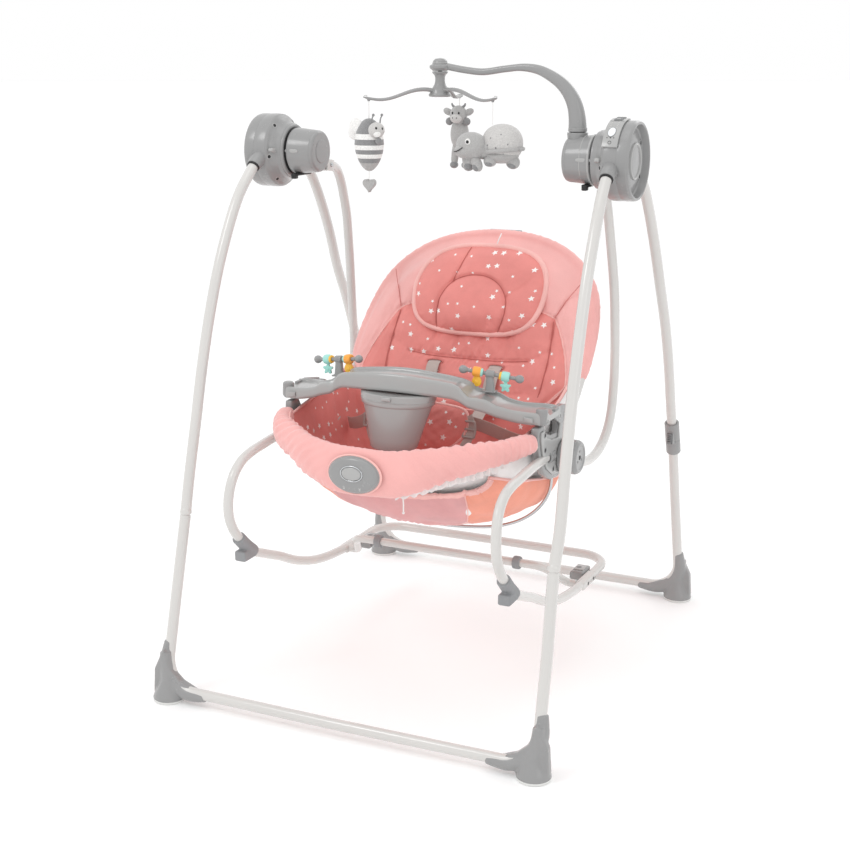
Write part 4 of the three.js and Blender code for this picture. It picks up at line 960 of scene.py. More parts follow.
# ------------------------------------------------------------------ seat side plates, caps
def plates():
    out = [(-175, 521), (-147, 522), (-135, 504), (-109, 495), (-73, 492), (-61, 531), (-43, 538), (-26, 531), (-18, 492), (-14, 462),
           (-20, 432), (-36, 414), (-69, 405), (-107, 410), (-141, 430), (-167, 466), (-177, 500)]
    parts = [slab_x("p", out, 242.4, 256.5, "grey", 3.0)]
    inner = [(-166, 512), (-150, 513), (-139, 497), (-112, 487), (-76, 483), (-66, 520), (-43, 529), (-33, 523), (-27, 490), (-23, 462), (-28, 437), (-41, 422), (-70, 414), (-104, 419), (-134, 437), (-158, 470), (-167, 498)]
    parts.append(slab_x("p2", inner, 256.0, 260, "grey2", 1.6))
    for y, z, r in ((-150, 504, 3.4), (-128, 452, 3.6), (-104, 430, 3.2), (-60, 423, 3.2), (-148, 476, 3.4), (-34, 508, 3.0)):
        parts.append(screw((260.1, y, z), EX, r))
        parts.append(lathe("b", [(0, r + 0.2), (0.9, r + 0.5), (0.9, r + 1.9), (-0.4, r + 2.6)], (259.9, y, z), EX, "grey", 28, 0.3))
    parts.append(lathe("pin", [(256, 0), (256, 5.4), (267.8, 5.4), (268.4, 7.0), (271.2, 7.0), (272, 5.6), (272, 3.2), (270.6, 2.8), (270.6, 0)], (0, -43, 523), EX, "grey2", 40, 0.6))
    # the socket the rocker rail plugs into
    parts.append(lathe("sock", [(0, 10.2), (0, 12.8), (1.6, 13.8), (24, 14.6), (26, 13), (26, 10.2)], (251.8, -124, 455.6), (-0.08, 1, -0.04), "grey", 48, 0.8))
    both(join("plate", parts), "seat_side", "swing", "grey_plastic", "seat_side")
    prof = [(260.6, 0), (260.6, 29.5), (262, 31.6), (264.6, 32), (289, 32), (292.6, 31), (296, 28.6), (297.4, 26.2), (297.4, 22.4), (296.2, 21.2), (295.4, 14), (295.4, 0)]
    cap = lathe("c", prof, (0, -60, 444), EX, "grey", 96, [0, 0.5, 1.5, 1, 2, 2, 2, 1, 0.8, 1, 1, 0])
    groove = lathe("g", [(276, 31.4), (276.4, 32.3), (278.4, 32.3), (278.8, 31.4)], (0, -60, 444), EX, "dark", 96, 0.2)
    sc = [screw((295.6, -60, 444), EX, 4.0)]
    for k in range(3):
        a = math.radians(90 + 120 * k)
        sc.append(lathe("d", [(0, 0), (0, 2.2), (0.6, 2.4), (0.6, 0)], (295.3, -60 + 12 * math.cos(a), 444 + 12 * math.sin(a)), EX, "dark", 20, 0.2))
    both(join("cap", [cap, groove] + sc), "arm_cap", "swing", "grey_plastic", "arm_cap")


plates()


# ------------------------------------------------------------------ tray, cup post, play bars
def tray():
    half = [(268, -170, -88, 526, 547), (254, -173, -88, 526, 547.6), (240, -176, -88, 526, 548), (222, -182, -100, 528, 550), (204, -188, -114, 532, 553), (180, -197, -123, 539, 560),
            (167, -202, -127, 545, 569), (150, -208, -130, 550, 572.5), (136, -214, -134, 555, 574), (129, -217, -148, 560, 581), (121, -219, -158, 565, 592), (108, -223, -165, 570, 598),
            (85, -229.5, -169, 572.5, 602), (60, -235, -172, 574, 605), (30, -238.8, -173, 575.6, 608), (0, -240, -173, 576, 609)]
    st = np.array(half, float)
    xs = np.concatenate([np.linspace(268, 140, 34), np.linspace(138, 104, 22), np.linspace(100, 0, 26)])
    order = np.argsort(st[:, 0])
    cols = [np.interp(xs, st[order, 0], st[order, i]) for i in range(1, 5)]
    cols = [smooth1(c, 2) for c in cols]
    rows = []
    full = [(-x, *[c[i] for c in cols]) for i, x in enumerate(xs)] + [(x, *[c[i] for c in cols]) for i, x in list(enumerate(xs))[:-1][::-1]]
    for x, f, b, z0, z1 in full:
        # rounded front face leaning back a little, lipped top with a shallow well, hollow underside
        lip, dep = 5.0, min(5.0, (z1 - z0) * 0.22)
        e = max(0.0, 1 - ((268 - abs(x)) / 12) ** 2) if abs(x) > 256 else 0.0
        f2, b2 = f + 6 * e, b - 6 * e
        P = [(f2 + 7, z0 + 0.5), (f2 + 2.6, z0 + 0.2), (f2 + 0.6, z0 + 2.2), (f2, z0 + 6), (f2 + 0.2, (z0 + z1) / 2), (f2 + 0.8, z1 - 5.5), (f2 + 2.0, z1 - 1.8), (f2 + 4.2, z1 - 0.2), (f2 + 6.6, z1),
             (f2 + 9.2, z1 - 0.8), (f2 + 11.5, z1 - dep), (f2 + 16, z1 - dep - 0.8), (b2 - 14, z1 - dep - 0.8), (b2 - 9.5, z1 - dep), (b2 - 7.5, z1 - 0.8), (b2 - 5, z1), (b2 - 2.4, z1 - 0.4),
             (b2 - 0.6, z1 - 2.6), (b2, z1 - 6), (b2, z0 + 6), (b2 - 0.8, z0 + 2), (b2 - 3, z0 + 0.2), (b2 - 6, z0 + 0.6), (b2 - 7.5, z0 + 5), (f2 + 9, z0 + 5)]
        rows.append([(x, y, z) for y, z in P])
    t = loft("tray", rows, "grey3", sharp=50)
    parts = [t]
    # end arm with two screw holes, end boss with its pin, and a light plate on the front face
    for s in (1, -1):
        arm = [(-119, 546), (-119, 527), (-89, 512), (-31, 510), (-25, 523), (-31, 537), (-81, 546)]
        o = slab_x("arm", arm, 260.8, 267.6, "grey", 1.6)
        if s < 0:
            m = mirrored(o, "arm")
            bpy.data.objects.remove(o)
            o = m
        parts.append(o)
        # screw holes in a lighter rim; their black floors are painted shade
        for y, z, r in ((-97, 529, 4.2), (-70, 526, 4.0)):
            parts.append(lathe("hole", [(-0.8, 0), (-0.8, r - 0.4), (0.4, r), (0.6, r + 0.4), (0.6, r + 1.6), (-0.4, r + 2)], (s * 267.7, y, z), (s, 0, 0), mats=["black", "grey2"], seg=32, r=0.1, pick=lambda p, q=r: 0 if p[1] < q else 1))
        # end boss and its round pin
        parts.append(lathe("boss", [(524.5, 0), (524.5, 7.6), (526.5, 9.4), (530, 10.8), (550, 10.9), (553, 10), (555, 7.6), (555.2, 0)], (s * 257, -160, 0), EZ, "grey", 56, 1.2))
        parts.append(lathe("pin", [(0, 0), (0, 5.2), (1.6, 6.6), (4, 6.8), (5.4, 5.6), (5.4, 3.4), (4.4, 2.6), (4.4, 0)], (s * 262.6, -158, 531), (s * 0.75, -0.66, 0), "grey2", 40, 0.6))
        parts.append(slab_y("rel", [(s * 231, 541), (s * 247, 540), (s * 247, 531.5), (s * 231, 532)], -181.2, -178.6, "grey2", 0.8))
    done(join("tray_v", parts), "tray", "grey_plastic", "tray")
    # tapered oval post with a stepped collar
    prof = [(472.5, 39, 32, -229), (473.2, 42.4, 35, -229), (476, 44.6, 36.7, -228.8), (490, 48.4, 39, -225.2), (510, 53.6, 42, -220.4), (530, 59.5, 45, -215.6), (545, 64.3, 47.2, -212.2), (550.5, 66.3, 48.1, -211.2),
            (551.6, 68.8, 49.2, -211), (553, 70.2, 49.8, -210.7), (558, 70.8, 50.1, -210), (568, 72.4, 50.8, -208), (571, 72.6, 50.9, -207.4), (572.1, 71, 50, -207)]
    rows = [[(rx * math.cos(a), y + ry * math.sin(a), z) for a in np.linspace(0, 2 * math.pi, 80, endpoint=False)] for z, rx, ry, y in prof]
    p = [loft("post", rows, "grey3")]
    p.append(tube("ridge", [(71.3 * math.cos(a), -209.6 + 50.6 * math.sin(a), 560.6) for a in np.linspace(0, 2 * math.pi, 80, endpoint=False)], 0.55, "grey2", 8, closed=True))
    p.append(rbox("clip", -9, 9, -262.2, -257.4, 563.5, 570.5, "grey2", 1.5))
    done(join("crotch_post_v", p), "tray", "grey_plastic", "crotch_post")


def smooth1(c, k):
    c = np.array(c, float)
    for _ in range(k):
        d = c.copy()
        d[1:-1] = (c[:-2] + 2 * c[1:-1] + c[2:]) / 4
        c = d
    return c


def play_bars():
    a, b = arr(105, -160, 612), arr(205, -136, 598)
    mid = a + (b - a) * 0.48
    d = (b - a) / np.linalg.norm(b - a)
    post = []
    rows = []
    for z, w, t in ((573.6, 9.6, 7.4), (575, 9.4, 7.2), (578, 8.3, 6.2), (590, 7.4, 5.4), (602, 6.4, 4.8), (608, 5.9, 4.4), (611, 5.0, 3.6)):
        q = []
        for k in range(32):
            t0 = 2 * math.pi * k / 32
            cx, sy = math.cos(t0), math.sin(t0)
            q.append((mid[0] + w * np.sign(cx) * abs(cx) ** 0.55, mid[1] + t * np.sign(sy) * abs(sy) ** 0.55, z))
        rows.append(q)
    post.append(loft("post", rows, "grey"))
    post.append(slab_z("foot", [(mid[0] - 12, mid[1] - 9), (mid[0] + 12, mid[1] - 9), (mid[0] + 12, mid[1] + 9), (mid[0] - 12, mid[1] + 9)], 572.8, 575.6, "grey", 1.2))
    n = 30
    P = np.array([a + (b - a) * k / n for k in range(n + 1)])
    post.append(tube("bar", P, 3.5, "grey", 24))
    for e, s in ((a, -1), (b, 1)):
        post.append(lathe("ball", [(-8.5, 0), (-8.5, 3.6), (-6.6, 5.2), (-3.6, 7.0), (0, 7.6), (3.6, 6.8), (6.2, 4.4), (7.4, 2.0), (7.6, 0)], e, d * s, "grey", 40, 1.5))
    post.append(lathe("hub", [(-8, 3.4), (-8, 6.2), (-6, 7), (6, 7), (8, 6.2), (8, 3.4)], mid, d, "grey", 40, 1.0))
    both(join("play_bar", post), "play_bar", "tray", "grey_plastic", "play_bar")
    cin, cout = a + (mid - a) * 0.56, mid + (b - mid) * 0.47
    # left of each post: thick roller with a drop tag; right: thick roller with a flower tag, each with a thin ring
    drop = [(-3.4, -5), (3.4, -5), (5.6, -9), (8.6, -15), (9, -20), (6.4, -25), (0, -27.4), (-6.4, -25), (-9, -20), (-8.6, -15), (-5.6, -9)]
    flower = []
    for k in range(60):
        t = 2 * math.pi * k / 60
        r = 8.2 + 2.3 * math.cos(5 * t)
        flower.append((r * math.sin(t), -18.5 + r * math.cos(t)))
    def spin(name, c, thick_at, m1, m2, tag, mt, slot):
        e = c + d * thick_at
        o = [lathe("r", [(-7.4, 3.9), (-7.4, 7.4), (-6.0, 8.8), (-2, 9.3), (2, 9.3), (6.0, 8.8), (7.4, 7.4), (7.4, 3.9), (0, 3.8), (-7.4, 3.9)], e, d, m1, 48, 1.0)]
        e2 = c - d * (thick_at * 2.4)
        o.append(lathe("r2", [(-2.6, 3.9), (-2.6, 6.4), (-1.4, 7.4), (1.4, 7.4), (2.6, 6.4), (2.6, 3.9), (0, 3.8), (-2.6, 3.9)], e2, d, m2, 40, 0.6))
        tg = prism("tag", [(p[0], p[1]) for p in tag], EY, (e[0], e[1] - 2.6, e[2]), 5.2, mt, 1.6, plane=(EX, EZ))
        o.append(tg)
        o.append(ellipsoid("em", (e[0], e[1] - 2.4, e[2] - 18.4), (3.4, 1.2, 3.4), mt, sup=0.9))
        both(join(name, o), name, name + "_*", slot, name)
    spin("drop_spinner", cin, -2.6, "orange", "mint", drop, "yellow", "yellow_plastic")
    spin("flower_spinner", cout, 2.6, "mint", "yellow", flower, "mint", "mint_plastic")


tray()
play_bars()


# ------------------------------------------------------------------ mobile
def mobile():
    route = catmull([(265, AXIS_Y, 1027.2), (263.5, AXIS_Y, 1050), (259, AXIS_Y, 1071), (249, AXIS_Y, 1091), (234, AXIS_Y, 1108), (213, AXIS_Y, 1122), (190, AXIS_Y, 1132),
                     (160, AXIS_Y, 1136), (125, AXIS_Y, 1133), (85, AXIS_Y, 1128), (50, AXIS_Y, 1131), (14, AXIS_Y, 1137)], 90)
    rows = []
    n = len(route)
    for i, p in enumerate(route):
        t = arr(0, 0, 1) if i == 0 else (route[min(n - 1, i + 1)] - route[max(0, i - 1)])
        t = t / np.linalg.norm(t)
        nn, m = EY, np.cross(t, EY)
        f = i / (n - 1) * 15
        r = 6 + 10 * max(0, 1 - f / 10) ** 0.9
        k = 0.86
        rows.append([p + m * r * np.sign(math.cos(a)) * abs(math.cos(a)) ** k + nn * r * 0.93 * np.sign(math.sin(a)) * abs(math.sin(a)) ** k for a in np.linspace(0, 2 * math.pi, 40, endpoint=False)])
    arm = loft("mast", rows, "grey")
    parts = [arm]
    parts.append(lathe("foot", [(1026.4, 0), (1026.4, 13.2), (1027.0, 15.8), (1028.4, 16.8), (1033, 16.7), (1033.8, 16.2), (1033.8, 12)], (265, AXIS_Y, 0), EZ, "grey", 64, 0.6))
    # black disc in the gap between the column and the mast's foot: painted shade
    parts.append(lathe("gap", [(1025.7, 0), (1025.7, 12.6), (1027.2, 12.6), (1027.2, 0)], (265, AXIS_Y, 0), EZ, "black", 48, 0))
    cap = lathe("cap", [(1129.4, 4.6), (1129.4, 13), (1130.4, 14.6), (1133, 17.8), (1134.6, 19), (1138.4, 19), (1139.4, 18), (1140.4, 15.2), (1142, 14.0), (1147, 12.6), (1150.6, 8.6), (1152, 0)], (0, AXIS_Y, 0), EZ, "grey", 64, 0.8)
    parts.append(cap)
    parts.append(lathe("capring", [(1142.4, 13.6), (1143.2, 14.3), (1144, 13.6)], (0, AXIS_Y, 0), EZ, "grey2", 56, 0.2))
    done(join("mobile_mast_v", parts), "mobile_arm", "grey_plastic", "mobile_mast")

    prof = [(1083.4, 0), (1083.4, 17), (1084.2, 20), (1086.6, 21), (1088.4, 20), (1090, 18.6), (1096, 16.2), (1100, 13.4), (1106, 10), (1112, 8.8), (1118, 9), (1122, 10.4), (1124.6, 13.2), (1126, 14.2), (1128.2, 14.2), (1128.5, 12), (1128.5, 3.8), (1135, 3.8), (1135, 0)]
    parts = [lathe("hub", prof, (0, AXIS_Y, 0), EZ, "grey", 64, 0.8)]
    for deg in (222, -22, 98):
        a = math.radians(deg)
        u, w = arr(math.cos(a), math.sin(a), 0), arr(-math.sin(a), math.cos(a), 0)
        rows = []
        N = 46
        for i in range(N + 1):
            s = i / N
            r = 8 + 136 * s
            z = 1091 + 7 * math.sin(s * math.pi * 2 * 0.92 + 0.4) - 6 * s
            hw = 4.2 + 3.4 * (1 - s) ** 1.2
            if s > 0.84:      # leaf-shaped tip
                q = (s - 0.84) / 0.16
                hw = 4.3 + 3.2 * math.sin(math.pi * min(1, q * 0.96)) - 3.4 * q ** 3
            hh = (2.4 + 1.6 * (1 - s)) * (1 if s < 0.97 else 0.6)
            c = arr(0, AXIS_Y, z) + u * r
            rows.append([c + w * max(hw, 0.7) * math.cos(t) + EZ * hh * np.sign(math.sin(t)) * abs(math.sin(t)) ** 0.8 for t in np.linspace(0, 2 * math.pi, 24, endpoint=False)])
        parts.append(loft("arm", rows, "grey"))
        e = arr(0, AXIS_Y, 0) + u * 134
        parts.append(lathe("eye", [(1077.0, 0.8), (1077.0, 2.2), (1079.5, 3.0), (1083, 3.2), (1083, 0.8)], (e[0], e[1], 0), EZ, "grey", 28, 0.5))
        for k in (-1, 1):
            v0 = e + u * 3 + EZ * 1087.2
            parts.append(tube("vein", [v0 + w * 0.5 * k, v0 + w * 3.4 * k + u * 5], 0.45, "grey2", 8))
    done(join("mobile_rotor_v", parts), "mobile_rotor", "grey_plastic", "mobile_rotor")


mobile()


def banded(name, c, r, bands, rot=None, nu=48, nv=72, shape=None):
    """A plush body of rings, its stripes cut exactly at ring edges. bands: list of (lowest height fraction, material)."""
    verts, F, idx = [], [], []
    mats = []
    for _, m in bands:
        if m not in mats:
            mats.append(m)
    for i in range(nv + 1):
        t = math.pi * i / nv
        h = math.cos(t)
        s = math.sin(t) * (shape(h) if shape else 1)
        for k in range(nu):
            p = 2 * math.pi * k / nu
            verts.append((s * math.cos(p) * r[0], s * math.sin(p) * r[1], h * r[2]))
    verts = np.array(verts)
    if rot is not None:
        verts = verts @ np.array(Matrix.Rotation(math.radians(rot[0]), 3, rot[1])).T
    verts = verts + np.array(c)
    for i in range(nv):
        h = (math.cos(math.pi * i / nv) + math.cos(math.pi * (i + 1) / nv)) / 2
        m = next(m for lo, m in bands if h >= lo)
        for k in range(nu):
            k2 = (k + 1) % nu
            q = (i * nu + k, (i + 1) * nu + k, (i + 1) * nu + k2, i * nu + k2)
            if i == 0:
                q = (0, q[1], q[2])
            if i == nv - 1:
                q = (q[0], nv * nu, q[3])
            F.append(q)
            idx.append(mats.index(m))
    used = sorted({i for f in F for i in f})
    remap = {u: j for j, u in enumerate(used)}
    o = new_mesh(name, verts[used], [[remap[i] for i in f] for f in F], mats, index=idx, sharp=None)
    return fix_normals(o)


def toys():
    def tip(deg):
        a = math.radians(deg)
        return 134 * math.cos(a), AXIS_Y + 134 * math.sin(a)

    def string(x, y, z0, z1=1078):
        return tube("string", [(x, y, z1 - (z1 - z0) * k / 12) for k in range(13)], 0.9, "thread", 10)

    # striped bee
    x, y = tip(222)
    P = [string(x, y, 1036)]
    P.append(banded("body", (x, y, 1000), (27, 25, 47), [(0.42, "plush_dark"), (0.2, "plush_white"), (0.02, "plush_dark"), (-0.16, "plush_white"), (-0.34, "plush_dark"), (-0.5, "plush_white"), (-0.68, "plush_dark"), (-2, "plush")],
                    shape=lambda h: 1 - 0.16 * max(0, -h) ** 1.3 + 0.02 * math.sin(40 * h) * 0.3))
    P.append(ellipsoid("head", (x + 22, y - 14, 1027), (15, 14, 14), "plush_light", nu=36, nv=24))
    P.append(ellipsoid("snout", (x + 27, y - 22, 1021), (7, 6, 6), "plush_white", nu=24, nv=16))
    P.append(ellipsoid("eye", (x + 27.5, y - 26.2, 1031), (2.1, 1.4, 2.4), "black", nu=18, nv=12))
    P.append(ellipsoid("eye2", (x + 35.6, y - 18, 1030), (1.4, 1.9, 2.4), "black", nu=18, nv=12))
    P.append(ellipsoid("ball", (x + 29, y - 19, 1008), (6, 5.6, 6), "plush_dark", nu=24, nv=16))
    for s, (dx, dy, dz) in ((1, (-30, 2, 1022)), (-1, (-22, -8, 1034))):
        P.append(ellipsoid("wing", (x + dx, y + dy, dz), (13, 4.2, 14), "plush_white", rot=(28 * s, "Y"), nu=32, nv=22))
    for dx, dy in ((12, -14), (24, -4)):
        P.append(tube("feeler", catmull([(x + dx, y + dy, 1036), (x + dx + 2, y + dy - 2, 1046), (x + dx + 5, y + dy - 3, 1052)], 10), 1.2, "plush_dark", 10))
        P.append(ellipsoid("knob", (x + dx + 5.4, y + dy - 3, 1053.5), (2.6, 2.6, 2.6), "plush_dark", nu=18, nv=12))
    P.append(tube("cord", [(x, y - 2, 956), (x + 0.5, y - 2, 948), (x, y - 2, 940)], 0.8, "thread", 10))
    pend = []
    for k in range(48):
        t = 2 * math.pi * k / 48
        pend.append((x + 0.72 * (16 * math.sin(t) ** 3), 929 + 0.82 * (13 * math.cos(t) - 5 * math.cos(2 * t) - 2 * math.cos(3 * t) - math.cos(4 * t))))
    P.append(slab_y("pend", pend, y - 5.5, y + 5.5, "plush", 4.0))
    done(join("toy_bee_v", P), "toy_bee", "plush_grey", "toy_bee")

    # turtle
    x, y = tip(-22)
    P = [string(x, y, 1038)]
    P.append(ellipsoid("shell", (x + 16, y + 8, 1006), (37, 32, 34), "plush_light", nu=56, nv=36, sup=0.94))
    P.append(tube("rim", [(x + 16 + 37.5 * math.cos(t), y + 8 + 32.5 * math.sin(t), 994 + 3 * math.cos(t)) for t in np.linspace(0, 2 * math.pi, 60, endpoint=False)], 3.6, "plush", 14, closed=True))
    P.append(ellipsoid("belly", (x + 14, y + 6, 986), (33, 28, 15), "plush", nu=40, nv=24))
    P.append(ellipsoid("head", (x - 33, y - 17, 1002), (28, 23, 24), "plush", nu=48, nv=32, sup=0.95))
    P.append(ellipsoid("muzzle", (x - 42, y - 25, 994), (19, 15, 14), "plush", nu=36, nv=24))
    P.append(ellipsoid("neck", (x - 12, y - 7, 996), (20, 18, 18), "plush", nu=32, nv=20))
    P.append(ellipsoid("eyew", (x - 30.5, y - 39.0, 1010.5), (5.2, 2.2, 5.4), "plush_white", nu=24, nv=16))
    P.append(ellipsoid("eyeb", (x - 30.5, y - 40.6, 1010.0), (2.9, 1.5, 3.1), "black", nu=20, nv=14))
    P.append(tube("mouth", catmull([(x - 60.2, y - 31, 992), (x - 54, y - 38, 992.5), (x - 46, y - 40.8, 996), (x - 40, y - 40.5, 1000)], 16), 0.8, "black", 8))
    for cx, cy, cz, rx, rz, rot in ((-36, -16, 974, 13, 17, 24), (-20, -22, 972, 9, 15, -26), (2, -14, 976, 12, 10, 0), (38, 4, 974, 13, 12, 10), (30, 22, 976, 11, 11, 0)):
        P.append(ellipsoid("leg", (x + cx, y + cy, cz), (rx, 10, rz), "plush", rot=(rot, "Y"), nu=30, nv=20))
        P.append(ellipsoid("pad", (x + cx - 0.5, y + cy - 3, cz - rz * 0.4), (rx * 0.7, 8, rz * 0.55), "plush_dark", rot=(rot, "Y"), nu=24, nv=16))
    for k, (tx, tz) in enumerate(((6, 1016), (24, 1022), (36, 1006), (16, 1000), (0, 1004), (28, 990))):
        dx, dz = (tx - 16) / 37, (tz - 1006) / 34
        yy = y + 8 - 32 * math.sqrt(max(0.02, 1 - dx * dx - dz * dz))
        P.append(ellipsoid("patch", (x + tx, yy + 0.4, tz), (2.0, 1.2, 2.0), "plush_dark", nu=16, nv=10))
    done(join("toy_turtle_v", P), "toy_turtle", "plush_light", "toy_turtle")

    # long-legged calf with small horns
    x, y = tip(98)
    P = [string(x, y, 1060)]
    P.append(ellipsoid("body", (x, y + 1, 1010), (18, 16, 30), "plush", nu=40, nv=28))
    P.append(ellipsoid("head", (x, y - 5, 1046), (17, 15.5, 18), "plush", nu=40, nv=28))
    P.append(ellipsoid("nose", (x, y - 17, 1040), (11.5, 8, 8.6), "plush_light", nu=30, nv=20))
    for s in (1, -1):
        P.append(ellipsoid("ear", (x + s * 22, y - 5, 1052), (10, 4, 6.5), "plush", rot=(-s * 24, "Y"), nu=26, nv=18))
        P.append(ellipsoid("cheek", (x + s * 18, y - 7, 1034), (7.5, 6, 7.5), "plush_dark", nu=24, nv=16))
        P.append(tube("horn", catmull([(x + s * 8, y - 5, 1060), (x + s * 13, y - 5, 1064.5), (x + s * 14, y - 5, 1068)], 10), np.linspace(2.8, 1.4, 11), "plush_dark", 14))
        P.append(ellipsoid("eye", (x + s * 6.5, y - 19.0, 1050), (1.9, 1.5, 2.3), "black", nu=16, nv=12))
        P.append(ellipsoid("nostril", (x + s * 4, y - 24.4, 1041), (1.0, 0.8, 1.2), "black", nu=12, nv=8))
        lx = x + (12 if s > 0 else -8)
        P.append(tube("leg", catmull([(lx * 0.5 + x * 0.5, y, 992), (lx, y, 976), (lx + s * 2, y - 1, 958)], 16), np.linspace(8.5, 6.6, 17), "plush", 24))
        P.append(ellipsoid("hoof", (lx + s * 2, y - 2, 952), (8, 8.5, 7), "plush_dark", nu=28, nv=18))
    done(join("toy_calf_v", P), "toy_giraffe", "plush_grey", "toy_giraffe")


toys()


# ------------------------------------------------------------------ vibration unit
def vibration():
    rows = []
    for y, k in ((-382.2, 1.0), (-386, 1.0), (-389, 0.985), (-391.4, 0.94), (-393.0, 0.86), (-394.0, 0.74), (-394.4, 0.55)):
        rows.append([(48 * k * math.cos(t), y, 462 + 32 * k * math.sin(t)) for t in np.linspace(0, 2 * math.pi, 96, endpoint=False)])
    u = loft("unit", rows, "grey")
    parts = [u]
    parts.append(tube("rim", [(48.2 * math.cos(t), -384.6, 462 + 32.2 * math.sin(t)) for t in np.linspace(0, 2 * math.pi, 96, endpoint=False)], 1.0, "grey2", 10, closed=True))
    parts.append(tube("chrome", [(20.6 * math.cos(t), -394.9, 466 + 13.4 * math.sin(t)) for t in np.linspace(0, 2 * math.pi, 72, endpoint=False)], 1.3, "steel", 12, closed=True))
    for k in range(4):      # four tiny generic marks
        cx = -15 + 10 * k
        parts.append(tube("mk", [(cx + 1.5 * math.cos(t), -393.4 - 0.35, 441.5 + 1.5 * math.sin(t)) for t in np.linspace(0, 2 * math.pi, 16, endpoint=False)], 0.4, "pale", 6, closed=True))
        parts.append(slab_y("mk2", [(cx - 1.6, 437.4), (cx + 1.6, 437.4), (cx + 1.6, 438.1), (cx - 1.6, 438.1)], -393.7, -392.4, "pale", 0))
    done(join("vibration_unit_v", parts), "swing", "grey_plastic", "vibration_unit")
    rows = []
    for y, k in ((-391.4, 1.0), (-395.6, 1.0), (-396.6, 0.95), (-397.2, 0.85), (-397.5, 0.6)):
        rows.append([(18.6 * k * math.cos(t), y, 466 + 11.6 * k * math.sin(t)) for t in np.linspace(0, 2 * math.pi, 64, endpoint=False)])
    done(loft("vibration_button_v", rows, "grey2"), "vibration_button", "bright_steel", "vibration_button")


vibration()


# ------------------------------------------------------------------ soft goods
def loop(P, n):
    """A smooth closed curve through P, as n points evenly spread along it."""
    P = [np.array(p, float) for p in P]
    Q = catmull(P[-3:] + P + P[:3], (len(P) + 5) * 12)
    Q = Q[3 * 12:(len(P) + 3) * 12 + 1]
    L = np.concatenate([[0], np.cumsum(np.linalg.norm(np.diff(Q, axis=0), axis=1))])
    s = np.linspace(0, L[-1], n, endpoint=False)
    return np.stack([np.interp(s, L, Q[:, k]) for k in range(Q.shape[1])], 1)


def even(P, n):
    """n points evenly spread along an open polyline."""
    P = np.asarray(P, float)
    L = np.concatenate([[0], np.cumsum(np.linalg.norm(np.diff(P, axis=0), axis=1))])
    s = np.linspace(0, L[-1], n)
    return np.stack([np.interp(s, L, P[:, k]) for k in range(P.shape[1])], 1)


def to_line(X, Y, line):
    """Distance of each point from a polyline."""
    line = np.asarray(line, float)
    best = np.full(np.shape(X), 1e9)
    for a, b in zip(line[:-1], line[1:]):
        d = b - a
        t = np.clip(((X - a[0]) * d[0] + (Y - a[1]) * d[1]) / max(d @ d, 1e-9), 0, 1)
        best = np.minimum(best, np.hypot(X - a[0] - t * d[0], Y - a[1] - t * d[1]))
    return best


def ripple(X, Y, size, seed, n=9, turn=None, lean=0.0):
    """Soft uneven waves of about that size; turn keeps them near one direction (radians)."""
    rng = np.random.RandomState(seed)
    out = np.zeros(np.shape(X))
    for _ in range(n):
        a = rng.uniform(0, math.pi) if turn is None else turn + rng.normal(0, 0.16 + lean)
        k = 2 * math.pi / (size * rng.uniform(0.6, 1.7))
        out += np.sin(k * (X * math.cos(a) + Y * math.sin(a)) + rng.uniform(0, 6.28)) * rng.uniform(0.5, 1)
    return out / math.sqrt(n)


def ease(t):
    t = np.clip(t, 0, 1)
    return t * t * (3 - 2 * t)


def grid(name, V, mats, index=None, uv=None, wrap=True, sharp=None, ends=False):
    """A mesh from rows of points; wrap joins the last column to the first, ends closes the first and last rows."""
    n, m = V.shape[:2]
    i = np.arange(n - 1)[:, None]
    j = np.arange(m if wrap else m - 1)[None, :]
    j2 = (j + 1) % m
    F = np.stack(np.broadcast_arrays(i * m + j, i * m + j2, (i + 1) * m + j2, (i + 1) * m + j), -1).reshape(-1, 4).tolist()
    idx = None if index is None else np.broadcast_to(np.asarray(index), (n - 1, j.size)).reshape(-1).tolist()
    verts = V.reshape(-1, 3)
    uvs = (verts[:, :2] if uv is None else np.asarray(uv, float).reshape(-1, 2))
    if ends == "strip":     # a thin sheet: front edge to back edge
        h = m // 2
        base = (n - 1) * m
        F += [(k + 1, k, m - 1 - k, m - 2 - k) for k in range(h - 1)] + [(base + k, base + k + 1, base + m - 2 - k, base + m - 1 - k) for k in range(h - 1)]
        if idx is not None:
            idx += idx[:h - 1] + idx[(n - 2) * m:(n - 2) * m + h - 1]
    elif ends:
        verts = np.vstack([verts, V[0].mean(0), V[-1].mean(0)])
        uvs = np.vstack([uvs, uvs[:m].mean(0), uvs[-m:].mean(0)])
        a, b, base = n * m, n * m + 1, (n - 1) * m
        F += [(a, (k + 1) % m, k) for k in range(m)] + [(b, base + k, base + (k + 1) % m) for k in range(m)]
        if idx is not None:
            idx += [idx[0]] * m + [idx[-1]] * m
    o = new_mesh(name, verts, F, mats, index=idx, uvs=uvs, sharp=sharp)
    return fix_normals(o)


PAD = arr([468, 150, 44, 34, 22], [490, 196, 58, 38, 26], [520, 220, 76, 50, 30], [556, 232, 95, 72, 32], [592, 236, 112, 101, 34], [628, 236, 127, 130, 34],
          [664, 228, 143, 156, 34], [700, 210, 162, 180, 34], [736, 182, 186, 206, 32], [766, 142, 210, 232, 28], [790, 84, 238, 250, 22])


def pad_col(z, k):
    return np.interp(z, PAD[:, 0], PAD[:, k])


